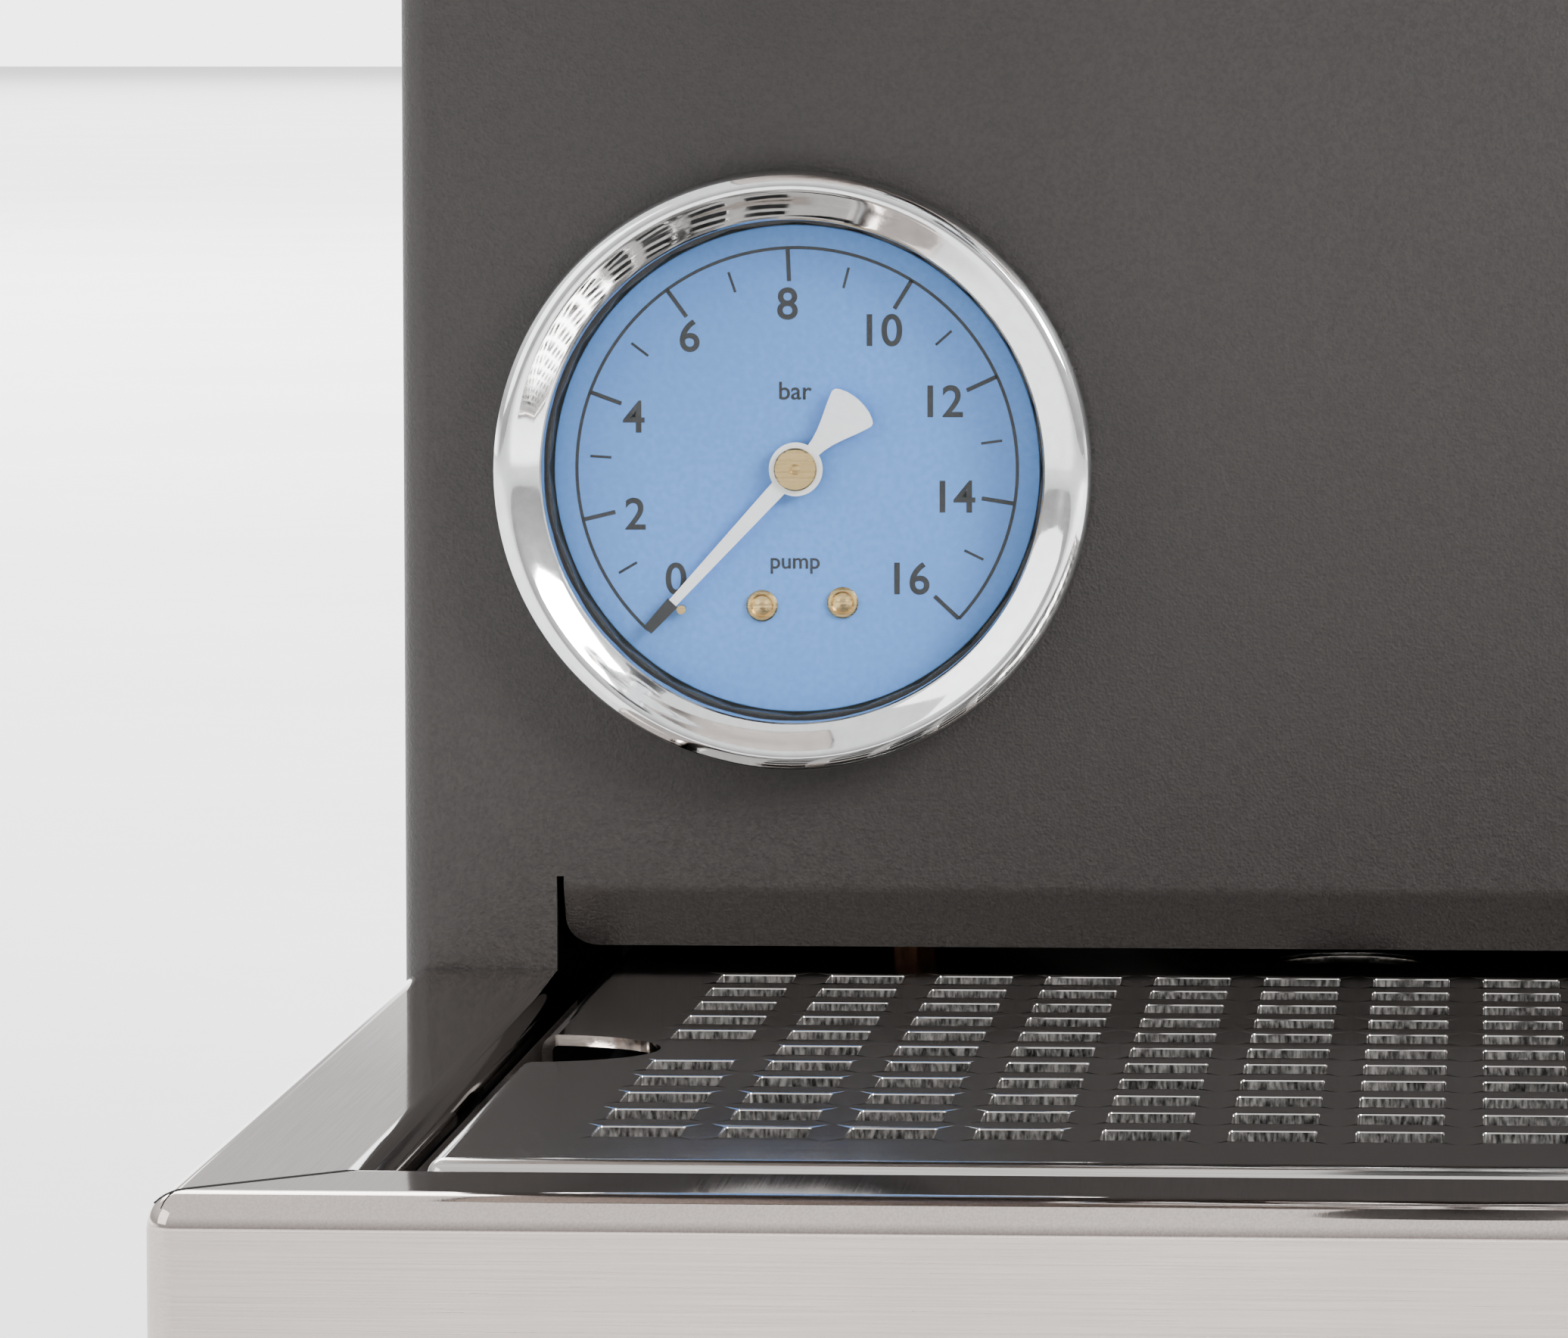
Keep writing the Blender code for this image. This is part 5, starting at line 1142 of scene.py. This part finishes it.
def portafilter():
    low, high = corners("portafilter_body")
    radius = corners("filter_basket")[1].x + GAP
    bore, floor = radius - 3.0, 4.0
    bottom = high.z - 33.4
    outside = [(-6, 0), (-2.5, 1.6), (0, 6), (0, 9), (-0.7, 9.6), (-0.7, 10.8), (0, 11.4)]
    cup = [(5, bottom), *moved(outside, radius, bottom), (radius, high.z), (bore, high.z)]
    cup += moved([(bore, 4), (bore - 4, 0), (5, 0)], 0, bottom + floor)
    body = to_object("portafilter_cup", turned(soften(cup, 0.5), GROUP_AXIS, steps=112), "chrome")
    ear_low, ear_high = corners("group_head")[0].z + EAR_LIP + GAP, high.z - 1.0
    for start in (-18, 162):
        outline = arc((0, GROUP.y), radius + 4.1, start, start + 36, 16)
        outline += arc((0, GROUP.y), radius - 1, start + 36, start, 16)
        carve(body, sheet(outline, ear_low, ear_high), "UNION")
    axis = (0, GROUP.y, bottom + 16)
    reach, long = GROUP.y - low.y, GROUP.y - corners("portafilter_handle")[0].y
    neck = moved([(0, -1.5), (9.5, -1.5), (8.8, 1.5), (7.2, 5), (6.8, 9)], 0, radius)
    neck += moved([(6.8, -3.0), (7.0, -2.4), (7.0, 0), (0, 0)], 0, reach)
    carve(body, turned(neck, axis, OUT, 64), "UNION")
    settle(edge(body, 0.35), "portafilter", "chrome", "portafilter_body")
    ferrule = [(7.4, GAP), (10.2, GAP), (11.3, 1.3), (11.5, 3), (11.5, 7.6), (10.9, 9.4), (10.7, 9.9), (7.4, 9.9)]
    piece("handle_ferrule", turned(moved(ferrule, 0, reach), axis, OUT, 64), "chrome", "portafilter", "chrome")
    grip = moved([(0, 10.1), (10.3, 10.1), (10.6, 13), (12.2, 32), (13.6, 50), (14.6, 68), (15.0, 85)], 0, reach)
    grip += moved([(15.0, -22), (14.2, -13), (12.2, -7), (8.6, -2.4), (5.5, -0.4), (5.2, 0), (4.6, 0)], 0, long)
    grip += [(4.3, long - 0.6), (0, long - 0.6)]
    handle = turned(soften(grip, 2.5, 5), axis, OUT, 72)
    return piece("handle_grip", handle, "black_plastic", "portafilter", "black_plastic", "portafilter_handle")


def basket():
    """The coffee basket, with its thin rolled rim."""
    low, high = corners("filter_basket")
    bore, wall = high.x - 4.2, 0.5
    profile = [(0, low.z), *moved([(-3.2, 0), (0, 2.2), (wall, 5)], bore, low.z), (bore + wall, high.z - 0.9)]
    profile += moved([(-0.4, -0.9), (0, -0.5), (-0.4, 0)], high.x, high.z)
    profile += [(bore + 0.4, high.z), (bore, high.z - 0.5)]
    profile += [*moved([(0, 5.2), (-0.6, 2.8), (-3.4, wall)], bore, low.z), (0, low.z + wall)]
    cup = turned(profile, GROUP_AXIS)
    return piece("coffee_basket", cup, "steel_polished", "portafilter", "polished_steel", "filter_basket")


def spouts():
    low, high = corners("portafilter_spout")
    spread, outer, bore = 14.0, 5.5, 3.4
    collar_low = high.z - 9
    collar = moved([(0, -3), (8.0, -3), (9.0, -2)], 0, collar_low)
    collar += moved([(9.0, -2.6), (8.4, -2.0), (8.4, -1.4), (9.0, -0.8), (9.0, 0), (0, 0)], 0, high.z)
    spout = to_object("twin_spout", turned(collar, GROUP_AXIS, steps=56), "chrome")
    inners = []
    for sign in (-1, 1):
        x = sign * spread
        path = [(sign * 3.0, GROUP.y, collar_low + 3), (x, GROUP.y, collar_low - 12), (x, GROUP.y, low.z)]
        path = rounded_path(path, 9.0, 12)
        carve(spout, rod(path, outer, 40), "UNION")
        inners.append([path[0] + Vector((0, 0, 1))] + path[1:-1] + [path[-1] - Vector((0, 0, 2))])
    for path in inners:
        carve(spout, rod(path, bore, 28))
    carve(spout, turned(rectangle((0, 4.6), (collar_low, high.z + 2)), GROUP_AXIS, steps=32))
    return settle(edge(spout, 0.3), "portafilter", "chrome", "portafilter_spout")


# Steam


def wand():
    low, high = corners("wand_nut")
    radius = high.x - WAND.x
    ball_low, ball_high = corners("wand_ball")
    ball = (ball_high.z - ball_low.z) / 2
    top, bottom = high.z - WAND.z, low.z - WAND.z
    nut = [(5.0, top), (radius - 0.6, top), (radius, top - 0.6)]
    nut += moved([(0, -1.5), (-0.9, -2.2), (-0.9, -2.8), (-0.4, -3.3), (-1.6, bottom)], radius)
    nut += moved([(-0.9, bottom), (0.5, -2.5), (0.5, 3.5)], ball) + [(5.0, top - 1)]
    piece("wand_cap", turned(nut, WAND, steps=64), "chrome", "chassis", "chrome", "wand_nut")
    steps = 24
    angles = [math.pi * k / steps for k in range(1, steps)]
    sphere = [(0, -ball), *[(ball * math.sin(a), -ball * math.cos(a)) for a in angles], (0, ball)]
    piece("wand_joint_ball", turned(sphere, WAND, steps=48), "chrome", "wand_ball", "chrome", "wand_ball")
    start = WAND.z - ball - GAP
    tip_z = corners("wand_tube")[0].z + 0.75
    places = [(WAND.x, WAND.y, start), (WAND.x, WAND.y, start - 26)]
    places += [(WAND.x + 10, WAND.y - 26, 150), (WAND.x + 12, WAND.y - 34, tip_z)]
    path = rounded_path(places, 18.0, 14)
    tip = path[-1]
    lead = (tip - path[-2]).normalized()
    # The nozzle: how far back from the tip, and the radius there
    ends = [(10.5, 3.5), (10.0, 3.6), (9.6, 4.9), (9.3, 5.0), (7.9, 5.0), (7.6, 4.6)]
    ends += [(7.2, 4.6), (6.9, 5.0), (3.2, 5.0), (2.6, 4.8), (0.6, 3.3), (0.0, 2.6)]
    radii = [3.5] * (len(path) - 1) + [r for _, r in ends]
    path = path[:-1] + [tip - lead * back for back, _ in ends]
    piece("steam_pipe", rod(path, radii, 40), "chrome", "wand", "chrome", "wand_tube", sharp=28)
    run = [k for k in range(len(path) - 1) if (path[k + 1] - path[k]).length > 20][1]
    first, last = path[run], path[run + 1]
    span, along = (last - first).length, (last - first).normalized()
    sleeve = [(3.8, span * 0.30), (6.3, span * 0.30), (6.8, span * 0.32)]
    ribs = 9
    rib = span * 0.28 / ribs
    for k in range(ribs):
        base = span * (0.34 + 0.28 * k / ribs)
        sleeve += [(7.0, base), (7.0, base + rib * 0.62), (6.45, base + rib * 0.74), (6.45, base + rib * 0.9)]
    sleeve += [(6.8, span * 0.64), (6.3, span * 0.66), (3.8, span * 0.66)]
    return piece("wand_sleeve", turned(sleeve, first, along, 48), "rubber", "wand", "rubber", "wand_grip")


def steam_knob():
    """The valve's knob, ribbed round its grip, with a pale ring and a white mark."""
    low, high = corners("steam_knob")
    long = HEAD_FRONT - low.y
    outer = high.x - KNOB.x
    back = HEAD_FRONT - high.y
    profile = [(0, back), (3, back), (3, 1)]
    profile += moved([(-1.2, 1), (-0.4, 1.5), (0, 2.8), (0, 5.4), (-0.6, 6.4), (-3.0, 7.6), (-3.5, 9.0)], outer)
    profile += moved([(-3.9, -3.2), (-4.6, -1.2), (-6.4, -0.2), (-7.2, 0), (-8.0, -0.6)], outer, long)
    profile.append((0, long - 0.6))
    place = (KNOB.x, HEAD_FRONT, KNOB.z)
    body = turned(profile, place, OUT)
    piece("knob_body", body, "black_plastic", "steam_knob", "black_plastic", "steam_knob")
    count = 30
    rib = block((-0.55, 0.75), (HEAD_FRONT - long + 3.4, HEAD_FRONT - 8.2), (-0.55, 0.55), 0.25, 2)
    sizes = {"Count": count, "Radius": outer - 3.5, "Start": 0.0, "Sweep": math.tau * (count - 1) / count}
    sizes["Centre"] = (KNOB.x, 0.0, KNOB.z)
    ribs = grow("knob_ribs", RING, to_object("rib", rib, "black_plastic"), "black_plastic", sizes)
    settle(ribs, "steam_knob", "black_plastic")
    ring = rectangle((outer - 9.3, outer - 8.2), (long - 0.62, long - 0.35))
    piece("knob_ring", turned(ring, place, OUT, 72), "chrome", "steam_knob", "chrome")
    mark = block((KNOB.x - 0.55, KNOB.x + 0.55), (low.y + 0.3, low.y + 0.7), (KNOB.z + 1.6, KNOB.z + 6.4), 0.15, 2)
    return piece("knob_mark", mark, "white", "steam_knob", "needle_white")


# Controls

ROCKERS = ("rocker_power", "rocker_brew", "rocker_steam")


def control_frame(name, low, high, rise):
    """A gloss surround on the head's front, with a raised field inside its rim."""
    frame_block = block((low.x, high.x), (low.y, HEAD_FRONT - GAP), (low.z, high.z), 0.7, 3)
    rim = 2.4
    field = block((low.x + rim, high.x - rim), (low.y + rise, high.y), (low.z + rim, high.z - rim))
    return carve(to_object(name, frame_block, "gloss_black"), field, "UNION")


def switch_plate():
    low, high = corners("switch_block")
    body = control_frame("switch_frame", low, high, 0.75)
    clear, tall = 0.5, (KNOB.z - 13.2, KNOB.z + 13.2)
    for name in ROCKERS:
        key_low, key_high = corners(name)
        carve(body, block((key_low.x - clear, key_high.x + clear), (low.y - 4, high.y - 3), tall, 0.4, 2))
    settle(edge(body, 0.2), "chassis", "black_plastic", "switch_block")
    for name in ROCKERS:
        rocker(name)


def rocker(name):
    """A rocker at rest, its lower end pressed in, with marks at both ends and a small lamp."""
    low, high = corners(name)
    half, tilt, proud, dip = 12.0, math.radians(8.0), 7.0, 1.7
    pivot_y = HEAD_FRONT + 4.0

    def dished(z):
        return -proud + dip * (1 - (z / half) ** 2)

    def tilted(y, z):
        return pivot_y + y * math.cos(tilt) - z * math.sin(tilt), KNOB.z + y * math.sin(tilt) + z * math.cos(tilt)

    section = [(dished(z), z) for z in [half - 2 * half * k / 12 for k in range(13)]]
    section += [(0.0, -half), (6.0, -5.0), (6.0, 5.0), (0.0, half)]
    key = sheet([tilted(y, z) for y, z in section], low.x, high.x, lie=SIDEWAYS)
    settle(edge(to_object("rocker_key", key, "black_plastic"), 0.5, 30, 3), name, "black_plastic", name)
    x = (low.x + high.x) / 2
    marks = []
    for mark, z in (("I", 6.6), ("O", -6.6)):
        sign = lettering(mark, 3.4, (0.0, 0.0), "white", (-0.06, 0.06), 0.0)
        slope = math.atan(2 * dip * z / half**2)
        y, up = tilted(dished(z), z)
        sign.data.transform(Matrix.Rotation(tilt - slope, 4, "X"))
        sign.data.transform(Matrix.Translation(Vector((x, y, up)) * MM))
        marks.append(sign)
    settle(merge(f"{name}_marks", marks), name, "needle_white")
    y, z = tilted(dished(0.0), 0.0)
    lens = [(0, -0.8), (1.5, -0.8), (1.5, 0.1), (1.2, 0.45), (0, 0.6)]
    direction = (0, -math.cos(tilt), -math.sin(tilt))
    return piece(f"{name}_lamp", turned(lens, (x, y, z), direction, 28), "amber", name, "grey_plastic")


# A figure's lit segments, and each segment's place across and up, and whether it stands upright
SEGMENTS = {"9": "abcdfg", "3": "abcdg"}
SEGMENT_PLACES = {
    "a": (0, 1, False),
    "b": (1, 0.5, True),
    "c": (1, -0.5, True),
    "d": (0, -1, False),
    "f": (-1, 0.5, True),
    "g": (0, 0, False),
}


def display():
    low, high = corners("display_module")
    window_low, window_high = corners("display_window")
    wide, tall = (window_low.x, window_high.x), (window_low.z, window_high.z)
    front, glass_y = low.y, window_low.y
    body = control_frame("display_frame", low, high, 0.7)
    carve(body, block((wide[0] - GAP, wide[1] + GAP), (front - 2, front + 3), (tall[0] - GAP, tall[1] + GAP)))
    for name in ("button_up", "button_down"):
        cap_low, cap_high = corners(name)
        place = (cap_low + cap_high) / 2
        radius = (cap_high.x - cap_low.x) / 2
        carve(body, turned(rectangle((0, radius + GAP), (-8, 3)), (place.x, front, place.z), OUT, 48))
        long = cap_high.y - cap_low.y
        cap = [(0, 0), (radius, 0), (radius, long - 0.8), (radius - 0.25, long - 0.25), (radius - 0.9, long)]
        cap = turned([*cap, (0, long - 0.25)], (place.x, cap_high.y, place.z), OUT, 48)
        piece(f"{name}_cap", cap, "grey_plastic", name, "grey_plastic", name)
        across, thin = 1.7, 0.35
        bars = [((-across, across), (0.02, 0.4), (-thin, thin))]
        if name == "button_up":
            bars.append(((-thin, thin), (0.04, 0.4), (-across, across)))
        signs = []
        for spans in bars:
            bar = block(*spans)
            bar.transform(Matrix.Translation((place.x, cap_low.y, place.z)))
            signs.append(to_object("sign", bar, "white"))
        settle(merge(f"{name}_sign", signs), name, "needle_white")
    settle(edge(body, 0.2), "chassis", "black_plastic", "display_module")
    pane = block(wide, (glass_y, glass_y + 0.9), tall, 0.25, 2)
    piece("display_pane", pane, "glass", "chassis", "glass", "display_window")
    backing = block(wide, (glass_y + 1.5, window_high.y), tall, 0.1, 1)
    piece("display_backing", backing, "gloss_black", "chassis", "black_plastic")
    bars = []
    for count, figure in enumerate("93"):
        x = sum(wide) / 2 + (count - 0.5) * 9.0
        for segment in SEGMENTS[figure]:
            across, up, upright = SEGMENT_PLACES[segment]
            half_x, half_z = (0.45, 2.1) if upright else (2.0, 0.45)
            bar_x, bar_z = x + across * 2.55, sum(tall) / 2 + up * 5.1
            spans = (bar_x - half_x, bar_x + half_x), (glass_y + 1.2, glass_y + 1.5), (bar_z - half_z, bar_z + half_z)
            bars.append(to_object("segment", block(*spans, 0.1, 1), "digits"))
    return settle(merge("display_figures", bars), "chassis", "grey_plastic")


# Underneath and inside


def feet():
    for node in ("foot_front_left", "foot_front_right", "foot_rear_left", "foot_rear_right"):
        low, high = corners(node)
        centre = (low + high) / 2
        radius, tall = high.x - centre.x, high.z
        profile = [(0, 4), (4, 4), (4, 0)]
        bell = [(-3.4, 0), (-2.2, 0.4), (-1.5, 1.6), (-0.9, 4.6), (-1.4, 5.2), (-1.4, 6.2), (-0.7, 6.8)]
        profile += moved(bell, radius)
        profile += [*moved([(0, -2.4), (0, -0.7), (-0.7, 0)], radius, tall), (0, tall)]
        pad = turned(profile, (centre.x, centre.y, 0), steps=64)
        piece(f"{node}_pad", pad, "rubber", "chassis", "rubber", node)


def mains_inlet():
    """The inlet's shell with its three flat pins."""
    low, high = corners("inlet_socket")
    wall, floor = 2.0, high.y - 16.0
    outside = block((low.x, high.x), (low.y, high.y), (low.z, high.z), 1.2, 3)
    inside = block((low.x + wall, high.x - wall), (floor, high.y + 4), (low.z + wall, high.z - wall), 1.6, 3)
    shell = carve(to_object("inlet_shell", outside, "black_plastic"), inside)
    settle(edge(shell, 0.3), "chassis", "black_plastic", "inlet_socket")
    x, z = (low.x + high.x) / 2, (low.z + high.z) / 2
    pin = to_object("pin", block((-1, 1), (floor - 0.5, high.y - 6), (-2, 2), 0.35, 2), "steel_satin")
    points = [(x - 7, 0, z - 2), (x, 0, z + 2), (x + 7, 0, z - 2)]
    pins = grow("inlet_pins", POINTS, pin, "steel_satin", {"Turn": (0.0, 0.0, 0.0)}, points)
    return settle(pins, "chassis", "brushed_steel")


def drip_pan():
    """The catch pan with rounded edges, its two bars and its nose."""
    low, high = corners("drip_pan")
    half = GRILLE_HIGH.x + 1.0
    front, back = GRILLE_LOW.y - 1.0, GRILLE_HIGH.y + 1.0
    wall, bar = 2.0, 6.0
    pan = to_object("catch_pan", block((-half, half), (front, back), (low.z, high.z), 0.8, 2), "black_plastic")
    for y in (PANEL_Y - 130.0, PANEL_Y - 40.0):
        carve(pan, block((low.x, high.x), (y, y + 16), (low.z, low.z + bar)), "UNION")
    carve(pan, block((-20, 20), (low.y, front + 1), (low.z, low.z + bar)), "UNION")
    inner = half - wall
    carve(pan, block((-inner, inner), (front + wall, back - wall), (low.z + wall, high.z + 12), 3.0, 4))
    return settle(edge(pan, 0.3), "drip_tray", "black_plastic", "drip_pan")


# The studio


def paint_frame():
    """The frame's own nodes that stay in view take the same finishes as the pieces round them."""
    finishes = {
        "powder_coat": "powder",
        "polished_steel": "steel_polished",
        "brushed_steel": "steel_side",
        "chrome": "chrome",
        "brass": "brass",
        "copper": "copper",
        "black_plastic": "black_plastic",
        "grey_plastic": "grey_plastic",
        "clear_plastic": "clear",
        "rubber": "rubber",
        "silicone": "silicone",
        "glass": "glass",
        "dial_blue": "dial",
        "needle_white": "white",
    }
    for node in frame["nodes"].values():
        for index, slot_of in enumerate(node.material_slots):
            base = slot_of.material.name.split(".")[0] if slot_of.material else ""
            key = next((key for key in finishes if key in base), "brushed_steel")
            node.material_slots[index].material = FINISHES[finishes[key]]


def studio():
    """A plain pale floor and soft lights, in a room that is brighter behind the machine than before it."""
    half = 40.0  # metres
    floor_mesh = bpy.data.meshes.new("floor")
    floor_corners = [(-half, -half, 0), (half, -half, 0), (half, half, 0), (-half, half, 0)]
    floor_mesh.from_pydata(floor_corners, [], [(0, 1, 2, 3)])
    floor_mesh.materials.append(FINISHES["floor"])
    floor = bpy.data.objects.new("floor", floor_mesh)
    bpy.context.collection.objects.link(floor)
    world = bpy.data.worlds.new("studio")
    world.use_nodes = True
    tree = world.node_tree
    sky = tree.nodes["Background"]
    sky.inputs["Strength"].default_value = 4.2
    towards = tree.nodes.new("ShaderNodeSeparateXYZ")
    link(tree, tree.nodes.new("ShaderNodeTexCoord").outputs["Generated"], towards.inputs[0])
    depth = remap(tree, towards.outputs["Y"], 0.0, 1.0, -0.45, 0.25)
    height = remap(tree, towards.outputs["Z"], 0.0, 1.0, 0.05, 0.55)
    walls = blend_colours(tree, height, (0.17, 0.165, 0.165), (0.40, 0.40, 0.40))
    above_horizon = remap(tree, towards.outputs["Z"], 0.0, 1.0, 0.05, 0.12)
    backdrop = blend_colours(tree, above_horizon, (1.0, 1.0, 1.0), walls)
    link(tree, blend_colours(tree, depth, walls, backdrop), sky.inputs["Color"])
    bpy.context.scene.world = world
    # Each lamp's place and size in metres, its watts, and where it points
    lamp("key_light", (1.0, -0.9, 0.85), (0.6, 0.6), 42.0)
    lamp("fill_light", (-1.4, -1.0, 0.9), (1.2, 1.2), 14.0)
    lamp("floor_light", (-0.8, 4.0, 3.0), (4.0, 4.0), 420.0, (-0.8, 4.0, 0.0))
    lamp("far_floor_light", (-1.5, 16.0, 7.0), (14.0, 20.0), 4200.0, (-1.5, 16.0, 0.0))


def lamp(name, place, size, power, aim=(0.0, 0.0, 0.12)):
    light = bpy.data.lights.new(name, "AREA")
    light.shape = "RECTANGLE"
    light.size, light.size_y = size
    light.energy = power
    holder = bpy.data.objects.new(name, light)
    bpy.context.collection.objects.link(holder)
    holder.location = place
    holder.rotation_euler = (Vector(aim) - Vector(place)).to_track_quat("-Z", "Y").to_euler()


def camera():
    lens = bpy.data.cameras.new("camera")
    lens.lens = 195.2
    lens.sensor_width = 36.0
    lens.shift_x = -0.13
    lens.clip_start = 0.01
    holder = bpy.data.objects.new("camera", lens)
    bpy.context.collection.objects.link(holder)
    holder.location = (0.0013, -0.809, 0.1626)
    holder.rotation_euler = (math.radians(85.72), 0.0, math.radians(3.33))
    bpy.context.scene.camera = holder


body_shell()
shell_screws()
rear_panel()
head_shell()
head_underside()
top_and_lid()
cup_rail()
tray_frame()
grille()
gauge_bezel()
gauge_dial()
gauge_needle()
gauge_glass()
head_casting()
screen_and_seal()
portafilter()
basket()
spouts()
wand()
steam_knob()
switch_plate()
display()
feet()
mains_inlet()
drip_pan()
paint_frame()
studio()
camera()
